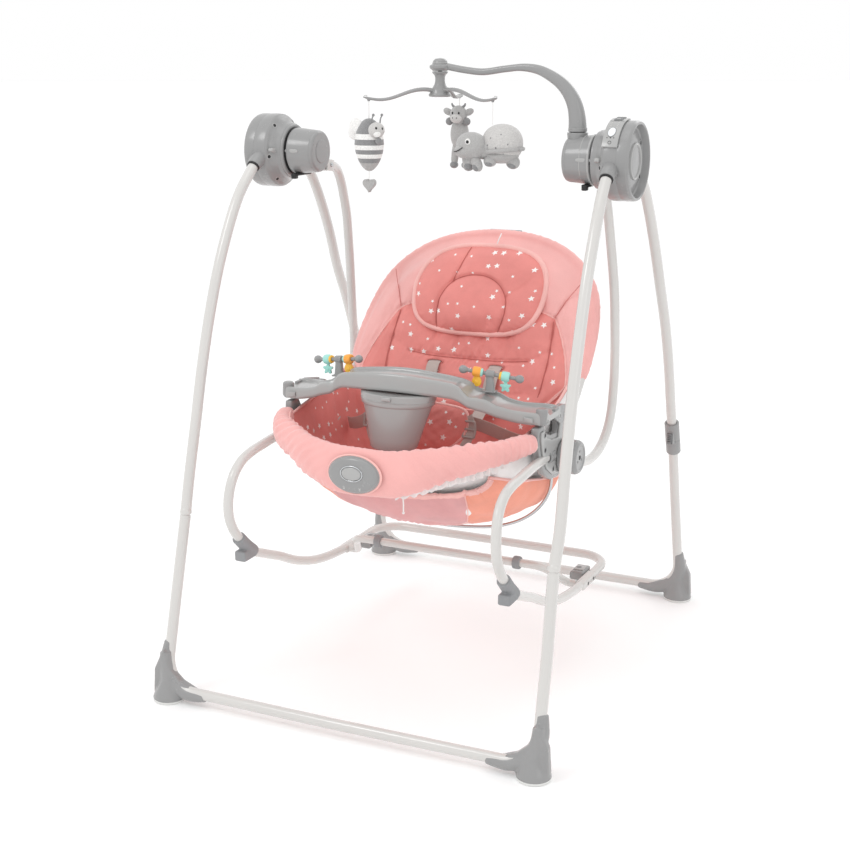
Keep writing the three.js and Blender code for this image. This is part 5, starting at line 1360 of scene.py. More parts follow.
def pad_front(x, z):
    """The plane of the backrest's cover before stitching, y for each x and z."""
    z = np.asarray(z, float)
    e = 7.0
    ym = (pad_col(z - e, 2) + 2 * pad_col(z, 2) + pad_col(z + e, 2)) / 4
    ye = (pad_col(z - e, 3) + 2 * pad_col(z, 3) + pad_col(z + e, 3)) / 4
    w = (pad_col(z - e, 1) + 2 * pad_col(z, 1) + pad_col(z + e, 1)) / 4
    over = np.maximum(z - 790, 0)
    return ym + (ye - ym) * np.minimum(np.abs(x) / w, 1.15) ** 2 + over * 0.5


def slope_length(z):
    zz = np.linspace(440, 830, 200)
    yy = pad_front(0 * zz, zz)
    L = np.concatenate([[0], np.cumsum(np.hypot(np.diff(zz), np.diff(yy)))])
    return np.interp(z, zz, L)


def sym(line):
    return [line, [(-x, z) for x, z in line]]


PAD_SEAMS = [(3.0, s) for s in sym([(204.6, 725.5), (182, 690), (168, 662)])] + [(4.5, s) for s in sym([(166, 658), (169, 620), (171, 580), (168, 530), (160, 470)])]
PAD_QUILT = [(2.2, [(x, 640), (x * 0.98, 575)]) for x in (-78, -30, 26, 78)] + [(3.2, [(-128, 578), (-78, 573), (0, 571.5), (78, 573), (130, 578)]),
                                                                          (1.2, [(-168, 600), (-128, 578)]), (1.2, [(170, 600), (130, 578)]),
                                                                          (1.4, [(-150, 520), (-60, 512), (60, 512), (150, 520)])]


def backrest():
    half = [(0, 468), (60, 468), (110, 470), (148, 475), (180, 486), (205, 505), (228, 535), (245, 570), (253, 600), (255, 620), (253, 640), (247, 665), (236, 690),
            (218, 714), (196, 738), (168, 760), (130, 782), (88, 797), (40, 806), (0, 809)]
    out = loop(half + [(-x, z) for x, z in half[-2:0:-1]], 340)
    zone = [(0, 474), (60, 474), (108, 476), (145, 481), (176, 492), (198, 508), (212, 524), (218, 545), (212, 571), (200, 601), (185, 630), (166, 656), (140, 667),
            (100, 678), (50, 686), (0, 690)]
    zn = loop(zone + [(-x, z) for x, z in zone[-2:0:-1]], 700)
    c = arr(0, 600)
    ang = np.arctan2(out[:, 1] - c[1], out[:, 0] - c[0])
    az = np.arctan2(zn[:, 1] - c[1], zn[:, 0] - c[0])
    order = np.argsort(az)
    rz = np.hypot(zn[:, 0] - c[0], zn[:, 1] - c[1])[order]
    rb = np.interp(ang, az[order], rz, period=2 * math.pi)
    T = np.roll(out, -1, 0) - np.roll(out, 1, 0)
    N = np.stack([T[:, 1], -T[:, 0]], 1)
    N /= np.linalg.norm(N, axis=1)[:, None]
    N *= np.sign(((out - c) * N).sum(1))[:, None]
    RHO = 11.5
    rim = out - N * RHO
    R = np.hypot(*(rim - c).T)
    d = (rim - c) / R[:, None]
    rb = np.minimum(rb, R * 0.985)
    # height of the roll's centre: the frame tube where there is one, else the pad's own edge
    near = np.array([BACK[np.argmin(np.hypot(BACK[:, 0] - p[0], BACK[:, 2] - p[1]))] for p in rim])
    far = np.hypot(near[:, 0] - rim[:, 0], near[:, 2] - rim[:, 1])
    w = ease((30 - far) / 18)
    yc = near[:, 1] * w + (pad_front(rim[:, 0], rim[:, 1]) + 11) * (1 - w)
    yc = np.convolve(np.concatenate([yc[-6:], yc, yc[:6]]), np.ones(13) / 13, "valid")
    rim = near[:, [0, 2]] * w[:, None] + rim * (1 - w)[:, None]
    rim = np.stack([np.convolve(np.concatenate([rim[-4:, k], rim[:, k], rim[:4, k]]), np.ones(9) / 9, "valid") for k in (0, 1)], 1)
    R = np.hypot(*(rim - c).T)
    d = (rim - c) / R[:, None]
    rb = np.interp(np.arctan2(d[:, 1], d[:, 0]), az[order], rz, period=2 * math.pi)
    rb = np.minimum(rb, R * 0.985)
    T = np.roll(rim, -1, 0) - np.roll(rim, 1, 0)
    N = np.stack([T[:, 1], -T[:, 0]], 1)
    N /= np.linalg.norm(N, axis=1)[:, None]
    N *= np.sign(((rim - c) * N).sum(1))[:, None]
    n0, n1, n2, n3 = 54, 30, 14, 22
    seams = PAD_SEAMS + PAD_QUILT + [(2.6, np.vstack([c + d * rb[:, None], (c + d * rb[:, None])[:1]]))]

    def cover(P, rad, stitched=True):
        X, Z = P[..., 0], P[..., 1]
        y = pad_front(X, Z)
        b = ease((rad - (R - 38)) / 38)
        y = y * (1 - b) + (yc - RHO) * b
        if not stitched:
            return y
        fade = 1 - ease((rad - (R - 12)) / 12)
        dm = np.full(X.shape, 1e9)
        g = np.zeros(X.shape)
        for depth, s in seams:
            q = to_line(X, Z, s)
            dm = np.minimum(dm, q)
            g += depth * np.exp(-(q / 3.6) ** 2)
        puff = 8.0 * (1 - np.exp(-(dm / 24) ** 2))
        pull = ripple(X, Z, 15, 5, 8, turn=0.2, lean=0.5) * 1.3 * np.exp(-(dm / 16) ** 2)
        soft = ripple(X, Z, 60, 3) * 1.1 + ripple(X, Z, 26, 4) * 0.35
        for s in (1, -1):       # slots for the shoulder straps
            q = np.hypot((X - s * 66) / 17, (Z - 562.6) / 4.0)
            g += 5 * np.exp(-q ** 4)
        return y - (puff + pull + soft) * fade + g * fade

    rows, uv, idx = [], [], []
    for k in range(1, n0 + 1):
        rad = rb * (k / n0)
        P = c + d * rad[:, None]
        rows.append(np.stack([P[:, 0], cover(P, rad), P[:, 1]], 1))
        uv.append(np.stack([P[:, 0], slope_length(P[:, 1])], 1))
        idx.append(0)
    for k in range(1, n1 + 1):
        rad = rb + (R - rb) * (k / n1)
        P = c + d * rad[:, None]
        rows.append(np.stack([P[:, 0], cover(P, rad), P[:, 1]], 1))
        uv.append(np.stack([P[:, 0], slope_length(P[:, 1])], 1))
        idx.append(1)
    gather = ripple(np.arange(len(out)) * 4.6, 0 * ang, 17, 9, 7, turn=0.0) * 0.55
    for k in range(1, n2):
        a = -math.pi / 2 + math.pi * k / n2
        P = rim + N * ((RHO + gather) * math.cos(a))[:, None]
        rows.append(np.stack([P[:, 0], yc + RHO * math.sin(a), P[:, 1]], 1))
        uv.append(np.stack([P[:, 0], slope_length(P[:, 1]) + 0 * a], 1) + N * RHO * (a + 1.57))
        idx.append(1)
    for k in range(0, n3):
        rad = R * (1 - k / n3)
        P = c + d * rad[:, None]
        t = pad_col(P[:, 1], 4)
        b = ease((rad - (R - 45)) / 45)
        crease = ripple(P[:, 0], P[:, 1], 70, 12, 9, turn=1.3, lean=0.5) * 1.6 * (1 - b)
        y = (pad_front(P[:, 0], P[:, 1]) + t * (1 - 0.5 * np.minimum(np.abs(P[:, 0]) / 240, 1) ** 2) + crease) * (1 - b) + (yc + RHO) * b
        rows.append(np.stack([P[:, 0], y, P[:, 1]], 1))
        uv.append(np.stack([P[:, 0], slope_length(P[:, 1])], 1))
        idx.append(1)
    V = np.stack(rows)
    o = grid("backrest_cover", V, ["coral", "pink"], index=np.array(idx[1:])[:, None], uv=np.stack(uv), ends=True)
    zline = c + d * rb[:, None]
    P = np.stack([zline[:, 0], V[n0 - 1][:, 1] - 0.3, zline[:, 1]], 1)
    trim = tube("trim", P, 1.7, "piping", 8, closed=True)
    parts = [trim]
    for s in (1, -1):       # seams of the side wings, as fine cord
        L = even([(s * 204.6, 725.5), (s * 182, 690), (s * 167, 659)], 24)
        y = pad_front(L[:, 0], L[:, 1]) + 0.6
        parts.append(tube("seamline", np.stack([L[:, 0], y, L[:, 1]], 1), 0.8, "seam", 6))
    # dark cords laid in the seam grooves: painted shade
    def seam_shade_cord(line, up, rad=0.9, mat="seam_dark"):
        L = even(catmull(line, 40), 60)
        rel = L - c
        rad_l = np.hypot(*rel.T)
        y = np.array([float(pad_front(p[0], p[1])) for p in L]) - up
        keep = np.interp(np.arctan2(rel[:, 1], rel[:, 0]), np.sort(np.arctan2(d[:, 1], d[:, 0])), R[np.argsort(np.arctan2(d[:, 1], d[:, 0]))], period=2 * math.pi) > rad_l + 14
        if keep.sum() > 3:
            parts.append(tube("seam_shade_cord", np.stack([L[:, 0], y, L[:, 1]], 1)[keep], rad, mat, 6))
    for s in (1, -1):
        seam_shade_cord([(s * 166, 652), (s * 169, 620), (s * 171, 580), (s * 168, 530), (s * 162, 484)], -1.2, 1.2)
    seam_shade_cord([(-128, 578), (-78, 573), (0, 571.5), (78, 573), (130, 578)], -0.6, 0.7)
    parts.append(tube("top_seam", np.stack([np.full(12, 4.0) + np.linspace(0, 3, 12), np.interp(np.linspace(0, 1, 12), [0, .5, 1], [240.5, 248, 261]), np.linspace(777, 803, 12)], 1), 1.3, "lining", 8))
    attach(o, "backrest")
    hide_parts("backrest_pad")
    tr = join("backrest_trim", parts)
    done(tr, "backrest", "pink_fabric")
    # recline handle behind the top of the backrest
    hnd = moulded("recline_handle", [rbox("a", -34, 38, 286, 303, 798, 807, "dark", 3), rbox("b", -22, 26, 278, 296, 790, 801, "dark", 3)], 1.4, "dark", 5)
    done(hnd, "backrest", "grey_plastic")
    return c, d, rb, cover


BACK_SHAPE = backrest()


def cushion():
    half = [(0, 621), (46, 622), (84, 627), (110, 637), (127, 654), (136, 676), (139, 698), (137, 720), (128, 741), (111, 759), (88, 771), (54, 779), (0, 782)]
    out = loop(half + [(-x, z) for x, z in half[-2:0:-1]], 300)
    c = arr(0, 700)
    R = np.hypot(*(out - c).T)
    d = (out - c) / R[:, None]
    arc = catmull([(-70, 618), (-75, 655), (-72, 688), (-53, 716), (-20, 730), (16, 730), (46, 718), (66, 694), (70, 660), (56, 618)], 40)
    seams = [(6.0, arc), (5.0, [(-53, 716), (-44, 745), (-37, 784)]), (2.2, [(66, 694), (98, 716), (122, 742)]), (1.6, [(26, 623), (38, 640)])]

    def front(P, s):
        X, Z = P[..., 0], P[..., 1]
        base = pad_front(X, Z) - 5
        thick = 25 * (1 - s ** 3.2) ** 0.62
        dm, g = np.full(X.shape, 1e9), 0
        for depth, line in seams:
            q = to_line(X, Z, line)
            dm = np.minimum(dm, q)
            g = g + depth * np.exp(-(q / 3.8) ** 2)
        puff = 7.0 * (1 - np.exp(-(dm / 20) ** 2)) * (1 - s ** 4)
        soft = (ripple(X, Z, 42, 21) * 1.0 + ripple(X, Z, 14, 22, 8) * 0.7 * np.exp(-(dm / 12) ** 2)) * (1 - s ** 5)
        edge = ripple(np.arctan2(Z - 700, X) * 90, 0 * X, 13, 23, 7, turn=0.0) * 1.0 * np.exp(-((1 - s) * 95 / 13) ** 2)
        return base - thick - puff - soft - edge * (1 - s ** 20) + g * (1 - s ** 6)

    rows, uv = [], []
    n = 56
    for k in range(1, n + 1):
        s = math.sin(0.5 * math.pi * k / n) ** 0.9
        P = c + d * (R * s)[:, None]
        rows.append(np.stack([P[:, 0], front(P, s), P[:, 1]], 1))
        uv.append(np.stack([P[:, 0] + 37, slope_length(P[:, 1]) + 18], 1))
    for k in range(0, 12):
        s = 1 - k / 12
        P = c + d * (R * s)[:, None]
        rows.append(np.stack([P[:, 0], pad_front(P[:, 0], P[:, 1]) - 3 - 2 * s ** 6, P[:, 1]], 1))
        uv.append(np.stack([P[:, 0], slope_length(P[:, 1])], 1))
    o = grid("head_cushion_cover", np.stack(rows), ["coral"], uv=np.stack(uv), ends=True)
    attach(o, "backrest")
    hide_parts("head_cushion")
    trims = []
    # dark cords laid in the cushion's seam grooves: painted shade
    for line, rad, lift in ((arc, 0.9, 0.2), (even(arr([-53, 716], [-45, 742], [-39, 778]), 20), 0.8, 0.2)):
        L = even(line, 60)
        s_ = np.hypot(L[:, 0], L[:, 1] - 700) / np.interp(np.arctan2(L[:, 1] - 700, L[:, 0]), np.sort(np.arctan2(d[:, 1], d[:, 0])), R[np.argsort(np.arctan2(d[:, 1], d[:, 0]))], period=2 * math.pi)
        ok = s_ < 0.97
        y = np.array([float(front(p, q)) for p, q in zip(L, s_)])
        trims.append(tube("t", np.stack([L[:, 0], y - 1.6, L[:, 1]], 1)[ok], rad, "seam_dark", 6))
    done(join("head_cushion_seam_shade", trims), "backrest", "coral_fabric")
    y = pad_front(out[:, 0], out[:, 1]) - 7.5
    w = ripple(np.arange(len(out)) * 2.6, 0 * y, 30, 25, 6, turn=0.0) * 0.25
    done(tube("head_cushion_piping", np.stack([out[:, 0], y + w, out[:, 1]], 1), 5.6 + w * 0.3, "piping", 14, closed=True), "backrest", "pink_fabric")


cushion()


def front_band():
    """Velour sleeve gathered over the front of the seat ring."""
    R = RING[RING[:, 1] < -178]
    R = even(R, 260)
    T = np.gradient(R, axis=0)
    T[:, 2] = 0
    T /= np.linalg.norm(T, axis=1)[:, None]
    side = np.stack([T[:, 1], -T[:, 0], 0 * T[:, 0]], 1)
    side *= np.sign(side[130] @ arr(0, -1, 0))       # points out of the seat
    x = R[:, 0]
    grow = np.minimum(1, (252 - np.abs(x)) / 60 + 0.04)
    hw = 12 + 8 * grow ** 0.7
    hh = np.interp(np.abs(x), [0, 60, 118, 150, 200, 240, 252], [42, 42, 35, 30, 24, 18, 14])
    R = R + EZ * np.interp(np.abs(x), [0, 60, 118, 150, 200, 240, 252], [0, 0, 6, 11, 12, 8, 3])[:, None]
    s = np.concatenate([[0], np.cumsum(np.linalg.norm(np.diff(R, axis=0), axis=1))])
    m = 64
    a = np.linspace(0, 2 * math.pi, m, endpoint=False)
    A = np.broadcast_to(a, (len(R), m))
    S = np.broadcast_to(s[:, None], (len(R), m))
    ca, sa = np.cos(a), np.sin(a)
    sec_w = np.sign(ca) * np.abs(ca) ** 0.8
    lean = ((1 - grow) * 0.0)[:, None]
    W = hw[:, None] * sec_w + lean
    H = hh[:, None] * sa
    # gathers: fine near both ends, slanting folds over the right and left fronts
    end = np.exp(-((252 - np.abs(x)) / 60) ** 2)[:, None]
    sl = np.exp(-((np.abs(x) - 150) / 75) ** 2)[:, None]
    h = hh[:, None] * sa
    folds = np.sin((S + 0.95 * h * np.sign(x)[:, None]) * 2 * math.pi / 21 + 1.6 * ripple(S, h, 90, 31)) * 2.3 * sl * (0.6 + 0.5 * ripple(S, h, 70, 36))
    gath = ripple(S, 0.25 * h, 9.5, 32, 9, turn=0.0) * 1.5 * end
    low = ripple(S, h, 11, 33, 8, turn=0.1) * 0.8 * np.exp(-((sa + 0.9) / 0.35) ** 2)[None, :]
    top = ripple(S, h, 9, 34, 8, turn=0.0) * 0.5 * np.exp(-((sa - 0.95) / 0.25) ** 2)[None, :]
    calm = 1 - 0.85 * np.exp(-(np.hypot(x[:, None], h) / 58) ** 4) * (sec_w[None, :] > 0)
    big = ripple(S, h, 120, 35) * 1.2
    off = (folds + gath + low + top) * calm + big * calm
    n2 = np.stack([sec_w / 0.8, sa], 0)
    n2 /= np.linalg.norm(n2, axis=0)
    V = R[:, None] + side[:, None] * (W + off * n2[0])[..., None] + EZ * (H + off * n2[1])[..., None]
    uv = np.stack([S, A * hh[:, None] * 0.8], -1)
    o = grid("front_band_cover", V, ["pink"], uv=uv, ends=True)
    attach(o, "swing")
    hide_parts("seat_front_band")
    # piping where the sleeve meets the seat's lining, and the sleeve's lower hem
    k = int(round(m * 0.375))
    line = V[8:-8, k] - side[8:-8] * 0.6
    tr = [tube("p", line, 1.8, "piping", 8)]
    k = int(round(m * 0.70))
    tr.append(tube("hem", V[6:-6, k] - EZ * 0.2, 1.5, "piping", 8))
    ring_v = lathe("unit_ring", [(0, 46.5), (1.5, 48.5), (2.6, 50.2), (1.5, 52.0), (0, 52.8)], (0, -382.6, 462), -EY, "piping", 72, 0.4, sx=1.0, sy=0.68)
    tr.append(ring_v)
    done(join("front_band_trim", tr), "swing", "pink_fabric")
    return R, side, V


BAND = front_band()

RIM = [(0, -343, 478), (60, -337, 479), (118, -316, 484), (165, -285, 488), (195, -262, 492), (215, -240, 496), (228, -205, 500), (232, -165, 506), (234, -120, 512),
       (235, -60, 520), (234, 0, 535), (230, 45, 548), (205, 50, 520), (170, 50, 494), (100, 54, 482), (0, 56, 476)]


def lining():
    """The padded star lining of the seat, a bowl with a white underside."""
    rim = loop(RIM + [(-x, y, z) for x, y, z in RIM[-2:0:-1]], 320)
    C = arr(0, -110)
    zk_y = arr(-343, -318, -285, -250, -215, -175, -110, -45, 15, 58)
    zk_z = arr(450, 438, 421, 405, 374, 342, 314, 299, 303, 340)
    n, p = 46, 2.6

    def surf(t, inner=True):
        a = 0.5 * math.pi * t
        s = math.sin(a) ** (2 / p)
        k = math.cos(a) ** (2 / p)
        x = rim[:, 0] * s
        y = C[1] + (rim[:, 1] - C[1]) * s
        zk = np.interp(y, zk_y, zk_z)
        z = rim[:, 2] - (rim[:, 2] - zk) * k
        return np.stack([x, y, z], 1)

    rows = [surf(k / n) for k in range(1, n + 1)]
    V = np.stack(rows)
    X, Y, Z = V[..., 0], V[..., 1], V[..., 2]
    du, dv = np.gradient(V, axis=0), np.roll(V, -1, 1) - np.roll(V, 1, 1)
    N = np.cross(du, dv)
    N /= np.maximum(np.linalg.norm(N, axis=2), 1e-9)[..., None]
    N *= np.sign((N * (arr(0, -110, 600) - V)).sum(2))[..., None]        # into the bowl
    t = (np.arange(1, n + 1) / n)[:, None]
    ang = np.arctan2(Y + 110, X)
    per = ang * 190
    dep = t * 170
    seam = np.minimum(to_line(X, Y, [(-128, -330), (-150, -180), (-160, 60)]), to_line(X, Y, [(128, -330), (150, -180), (160, 60)]))
    seam = np.minimum(seam, to_line(X, Y, [(-150, -60), (150, -60)]))
    g = 2.6 * np.exp(-(seam / 4) ** 2) - 4.0 * (1 - np.exp(-(seam / 24) ** 2))
    wr = ripple(per, dep, 26, 41, 10, turn=0.35, lean=0.4) * 1.4 * ease(t * 1.4) + ripple(X, Y, 60, 42) * 1.4
    edge = 1 - ease((t - 0.9) / 0.1)
    inner = V + N * ((3.0 - g + wr) * edge * 0.8 + 0.6)[..., None]
    outer = V - N * (3.2 * np.ones_like(X))[..., None]
    both_s = np.concatenate([inner, outer[::-1]])
    arc = np.concatenate([np.zeros((1, V.shape[1])), np.cumsum(np.linalg.norm(np.diff(V, axis=0), axis=2), axis=0)]) + 12
    r = arc * np.hypot(np.cos(ang), np.sin(ang))
    UV = np.stack([r * np.cos(ang), r * np.sin(ang)], -1)
    UV = np.concatenate([UV, UV[::-1]])
    idx = np.concatenate([np.zeros(n, int), np.ones(n - 1, int)])[:, None]
    o = grid("seat_lining", both_s, ["coral", "lining"], index=idx, uv=UV, ends=True)
    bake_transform(o)
    back = np.roll(rim, 0, 0)
    keep = back[:, 1] > -240
    i0 = int(np.argmax(~keep))
    loop_pts = np.roll(back, -i0, 0)
    loop_pts = loop_pts[loop_pts[:, 1] > -240]
    e = tube("seat_lining_piping", loop_pts + EZ * 1.0, 2.6, "piping", 10)
    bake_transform(e)
    return rim, surf


LINING = lining()


def outer_sling():
    rows = arr([-252, 190, 446, 399], [-215, 207, 434, 358], [-175, 218, 422, 326], [-110, 224, 408, 300], [-45, 224, 394, 284],
               [15, 220, 382, 286], [50, 216, 384, 308], [68, 214, 402, 344], [76, 211, 424, 388], [76, 208, 446, 430], [70, 204, 462, 458])
    sp = catmull(rows, 118)
    ys = sp[:, 0]
    col = [sp[:, k] for k in (1, 2, 3)]
    run = np.concatenate([[0], np.cumsum(np.hypot(np.diff(ys), np.diff(col[2])))])
    seam = np.radians(np.interp(run, [0, 20, 150, 320], [50, 46, 27, 20]))
    n1, n2 = 34, 56
    V, uv = [], []
    for i, y in enumerate(ys):
        w, zs, zm = (c[i] for c in col)
        a = np.concatenate([np.linspace(-math.pi / 2, -seam[i], n1), np.linspace(-seam[i], seam[i], n2)[1:], np.linspace(seam[i], math.pi / 2, n1)[1:]])
        V.append(np.stack([(w + 5) * np.sin(a), np.full(a.shape, y), zs - (zs - zm + 5) * np.cos(a)], 1))
        uv.append(np.stack([a * w, np.full(a.shape, run[i])], 1))
    V, uv = np.stack(V), np.stack(uv)
    X, Y, Z = V[..., 0], V[..., 1], V[..., 2]
    k = np.arange(V.shape[1])
    dk = np.minimum(np.abs(k - (n1 - 1)), np.abs(k - (n1 + n2 - 2)))[None, :] * 4.0
    N = np.cross(np.gradient(V, axis=0), np.gradient(V, axis=1))
    N /= np.maximum(np.linalg.norm(N, axis=2), 1e-9)[..., None]
    N *= np.sign((N * (V - arr(0, -60, 520))).sum(2))[..., None]
    N /= np.maximum(np.linalg.norm(N, axis=2), 1e-6)[..., None]
    gather = np.exp(-((Y + 252) / 26) ** 2)
    hem = np.exp(-((Y + 138) / 9.5) ** 2) * ease((np.interp(Y, [-252, 58], [148, 58]) - np.abs(uv[..., 0])) / 30) * (np.arange(V.shape[0]) < 70)[:, None]
    off = (ripple(uv[..., 0], Y, 13, 51, 9, turn=0.0) * 1.3 * gather + ripple(X, Y, 75, 52) * 2.0 + ripple(uv[..., 0], Y, 11, 53, 8, turn=0.0) * 1.0 * hem
           + ripple(X, Y * 0.4, 34, 56, 8, turn=0.9, lean=0.3) * 1.0 + 3.4 * hem - 1.8 * np.exp(-(dk / 4) ** 2))
    outer = V + N * (off + 1.0)[..., None]
    inner = V - N * 2.5
    full = np.concatenate([outer, inner[:, ::-1]], 1)
    UV = np.concatenate([uv, uv[:, ::-1]], 1)
    m = V.shape[1]
    jj = np.arange(2 * m)
    # panel materials: 0 the centre panel, pale pink with painted shade; 1 the side panels, coral with painted light; 3
    # the lining inside
    side = np.where(jj < n1 - 1, 1, np.where(jj < n1 + n2 - 2, 0, np.where(jj < m - 1, 1, 3)))
    ymid = (ys[:-1] + ys[1:]) / 2
    idx = np.broadcast_to(side, (len(ys) - 1, 2 * m)).copy()
    strip = (ymid > -142) | (np.arange(len(ymid)) > 70)
    idx[np.ix_(strip, np.where((jj >= n1 - 1) & (jj < n1 + n2 - 2))[0])] = 2
    idx[np.ix_(ymid < -244, np.where(jj < m - 1)[0])] = 2
    o = grid("seat_sling_cover", full, ["pale_pink_painted_shade", "coral_painted_light", "piping", "lining"], index=idx, uv=UV, ends="strip")
    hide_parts("seat_sling")
    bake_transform(o)
    parts = []
    for kk in (n1 - 1, n1 + n2 - 2):
        parts.append(tube("s", outer[2:-2, kk] + N[2:-2, kk] * 0.5, 1.3, "piping", 8))
    for kk in (0, m - 1):
        parts.append(tube("s", outer[:, kk], 2.6, "piping", 10))
    parts.append(tube("s", outer[0, :], 3.0, "piping", 10))
    parts.append(tube("s", outer[-1, :], 3.0, "piping", 10))
    tr = join("sling_trim", parts)
    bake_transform(tr)
    return rows


outer_sling()


def strap(name, P, width, thick, mat="web", side=None, n=90):
    """Flat webbing along P, its width across side."""
    P = even(catmull(P, 60), n)
    T = np.gradient(P, axis=0)
    T /= np.linalg.norm(T, axis=1)[:, None]
    S = np.tile(np.array(side if side is not None else EX, float), (n, 1)) if np.ndim(side) < 2 else np.asarray(side, float)
    S = S - T * (S * T).sum(1)[:, None]
    S /= np.linalg.norm(S, axis=1)[:, None]
    U = np.cross(T, S)
    a = np.linspace(0, 2 * math.pi, 28, endpoint=False)
    sg = lambda v, p: np.sign(v) * np.abs(v) ** p
    V = P[:, None] + (width / 2) * sg(np.cos(a), 0.45)[None, :, None] * S[:, None] + (thick / 2) * sg(np.sin(a), 0.6)[None, :, None] * U[:, None]
    L = np.linspace(0, np.linalg.norm(np.diff(P, axis=0), axis=1).sum(), n)
    uv = np.stack([np.broadcast_to(width / 2 * sg(np.cos(a), 0.45), (n, 28)), np.broadcast_to(L[:, None], (n, 28))], -1)
    return grid(name, V, mat, uv=uv, ends=True, sharp=50)


def cushion_on(name, origin, u, v, outline, thick, mat, seed, back=0.25, rings=30, puff=0.6):
    """A small padded piece on a plane; gives back its rim line, for the piping."""
    o0, u, v = np.array(origin, float), np.array(u, float), np.array(v, float)
    nrm = np.cross(u, v)
    out = loop(outline, 200)
    c = out.mean(0)
    d = out - c
    rows, uvs = [], []
    for k in range(1, rings + 1):
        s = math.sin(0.5 * math.pi * k / rings) ** 0.9
        q = c + d * s
        h = thick * (1 - s ** 3) ** puff + (ripple(q[:, 0], q[:, 1], 22, seed) * 0.8 + ripple(q[:, 0], q[:, 1], 9, seed + 1) * 0.4 * s) * (1 - s ** 6)
        rows.append(o0 + q[:, :1] * u + q[:, 1:] * v + h[:, None] * nrm)
        uvs.append(q)
    for k in range(1, 10):
        s = 1 - k / 10
        q = c + d * s
        rows.append(o0 + q[:, :1] * u + q[:, 1:] * v - back * thick * (1 - s ** 3) * nrm)
        uvs.append(q)
    o = grid(name, np.stack(rows), [mat], uv=np.stack(uvs), ends=True)
    rim = o0 + out[:, :1] * u + out[:, 1:] * v
    return o, rim


def harness():
    v = arr(0, 0.22, 0.9755)
    half = [(0, -40), (34, -38), (64, -26), (86, -4), (94, 22), (86, 42), (50, 50), (0, 51)]
    flap, rim = cushion_on("crotch_flap", (0, -112, 478), EX, v, half + [(-x, z) for x, z in half[-2:0:-1]], 10, "coral", 61)
    done(flap, "swing", "coral_fabric")
    parts = [tube("p", rim, 3.0, "piping", 10, closed=True)]
    done(join("crotch_flap_piping", parts), "swing", "pink_fabric")
    # the padded strap that holds the flap down to the seat
    leg = strap("crotch_strap", [(0, -116, 452), (0, -121, 420), (0, -124, 380), (0, -118, 345), (0, -100, 322), (0, -72, 312)], 50, 9, "coral")
    done(leg, "swing", "coral_fabric")
    # waist straps: from each side of the flap back to the seat's sides, with an adjuster and a loose end
    for s in (1, -1):
        nm = "right" if s > 0 else "left"
        a = strap("w", [(s * 70, -108, 502), (s * 92, -102, 500), (s * 118, -84, 488), (s * 158, -48, 462), (s * 196, -14, 446), (s * 214, 2, 442)], 24, 2.0, "web", side=arr(0, -0.2, 0.98))
        e = strap("e", [(s * 93, -107, 512), (s * 101, -112, 494), (s * 99, -119, 474), (s * 92, -124, 456), (s * 88, -123, 444)], 24, 2.0, "web", side=arr(0.9 * s, -0.42, 0.1))
        done(join("waist_strap_" + nm, [a, e]), "swing", "coral_fabric")
        u1 = arr(0.9 * s, -0.42, 0.1) / np.linalg.norm([0.9, 0.42, 0.1])
        bars = []
        for z in (503, 489, 475):
            y = np.interp(z, [474, 494, 512], [-121.5, -114.5, -109.5])
            xx = s * np.interp(z, [474, 494, 512], [99, 101, 93])
            p = arr(xx, y, z)
            bars.append(tube("b", np.stack([p - u1 * 15.5, p + u1 * 15.5]), 2.3, "web_clip", 12))
        for q in (-1, 1):
            bars.append(tube("b", even(catmull([arr(s * np.interp(z, [474, 494, 512], [99, 101, 93]), np.interp(z, [474, 494, 512], [-121.5, -114.5, -109.5]), z) + q * u1 * 15.5 for z in (475, 489, 503)], 8), 8), 2.3, "web_clip", 12))
        done(moulded("strap_adjuster_" + nm, bars, 0.8, "web_clip", 3), "swing", "grey_plastic")
        # shoulder strap: out of its slot, down the backrest, over the seat to the flap
        f = lambda x, z: float(pad_front(x, z))
        P = [(s * 66, f(66, 563) + 3, 564), (s * 66, f(66, 562) - 9, 560), (s * 65, f(65, 545) - 15, 543), (s * 63, f(63, 520) - 14, 518), (s * 60, f(60, 495) - 15, 494),
             (s * 56, 12, 470), (s * 52, -30, 456), (s * 48, -72, 470), (s * 46, -98, 500), (s * 46, -107, 512)]
        sh = strap("shoulder_strap_" + nm, P, 26, 2.2, "web", n=120)
        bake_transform(sh)
        lip = tube("slot_" + nm, loop([(s * 66 + 16 * math.cos(t), 562.6 + 3.6 * math.sin(t)) for t in np.linspace(0, 2 * math.pi, 16, endpoint=False)], 48)[:, [0, 0, 1]] * arr(1, 0, 1), 1.2, "seam", 8, closed=True)
        bpy.data.objects.remove(lip)
        L = loop([(s * 66 + 16.5 * math.cos(t), 562.6 + 4.2 * math.sin(t)) for t in np.linspace(0, 2 * math.pi, 16, endpoint=False)], 48)
        lip = tube("strap_slot_" + nm, np.stack([L[:, 0], pad_front(L[:, 0], L[:, 1]) - 2.6, L[:, 1]], 1), 1.5, "seam", 8, closed=True)
        done(lip, "backrest", "coral_fabric")


M["web_clip"] = hard("webbing_clip", "a9a19c", 0.4, vary=0.05)
harness()


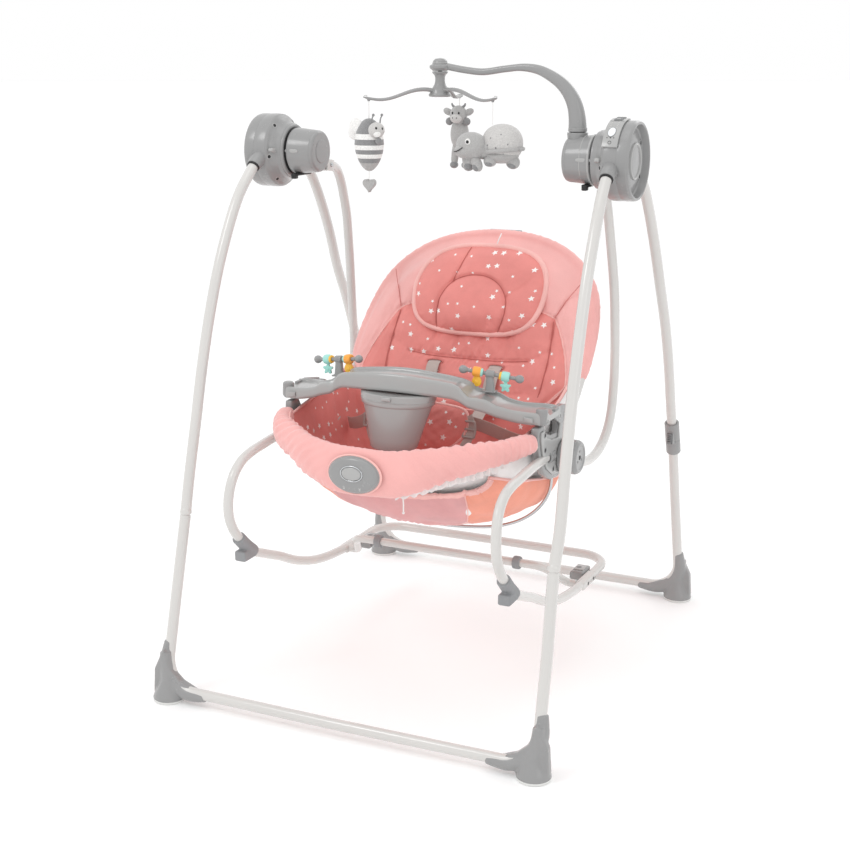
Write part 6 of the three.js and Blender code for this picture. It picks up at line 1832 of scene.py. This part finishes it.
def frills():
    R, side, V = BAND
    x = R[:, 0]
    low = V[:, :, 2].min(1)
    for s in (1, -1):
        sel = (x * s > 60) & (np.abs(x) < 236)
        P, S, z0 = R[sel], side[sel], low[sel]
        if P[0, 0] * s > P[-1, 0] * s:
            P, S, z0 = P[::-1], S[::-1], z0[::-1]
        n = 320
        L = np.concatenate([[0], np.cumsum(np.linalg.norm(np.diff(P, axis=0), axis=1))])
        t = np.linspace(0, L[-1], n)
        P = np.stack([np.interp(t, L, P[:, k]) for k in range(3)], 1)
        S = np.stack([np.interp(t, L, S[:, k]) for k in range(3)], 1)
        z0 = np.interp(t, L, z0)
        rows, uv = [], []
        m = 16
        drop = np.interp(t / L[-1], [0, 0.4, 0.8, 1], [14, 24, 26, 12])
        for k in range(m + 1):
            w = k / m
            amp = 1.0 + 4.2 * w ** 0.8
            rip = np.sin(t * 2 * math.pi / 17 + 1.4 * np.sin(t / 31.0 + s)) * amp + np.sin(t * 2 * math.pi / 9.5 + 2 * w) * 0.8 * w
            p = P - S * (9 + 2 * w - rip)[:, None]
            p[:, 2] = z0 + 9 - w * drop - 1.3 * np.cos(t * 2 * math.pi / 17) * w
            rows.append(p)
            uv.append(np.stack([t * 1.3, np.full(n, 30 * w)], 1))
        A = np.stack(rows)
        B = A - np.broadcast_to(S, A.shape) * 1.1
        full = np.concatenate([A, B[::-1]])
        # ring across the cloth, rows along its length
        full = np.transpose(full, (1, 0, 2))
        UV = np.transpose(np.concatenate([np.stack(uv), np.stack(uv)[::-1]]), (1, 0, 2))
        o = grid("elastic_frill_" + ("right" if s > 0 else "left"), full, ["lining"], uv=UV, ends="strip")
        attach(o, "swing")
    # drawstring with its toggle
    top = arr(66, -329, 428)
    path = np.array([top, top + (0.3, -0.6, -12), top + (0.9, -0.2, -26), top + (0.4, 0.6, -42)])
    path = even(catmull(path, 24), 24)
    cord = tube("drawstring", path, 1.25, "thread", 12)
    done(cord, "swing", "pink_fabric")
    tog = join("drawstring_toggle", [lathe("a", [(-6.5, 0), (-6.5, 3.4), (-5, 4.6), (4.5, 4.6), (6, 3.2), (6, 1.6)], path[5], -EZ, "lining", 28, 1.0),
                                     lathe("b", [(-5, 0), (-5, 2.2), (5, 2.2), (5, 0)], path[5], EX, "pale", 20, 0.6),
                                     ellipsoid("k", path[-1], (2.3, 2.3, 2.6), "thread", nu=16, nv=12)])
    done(tog, "swing", "pink_fabric")


frills()
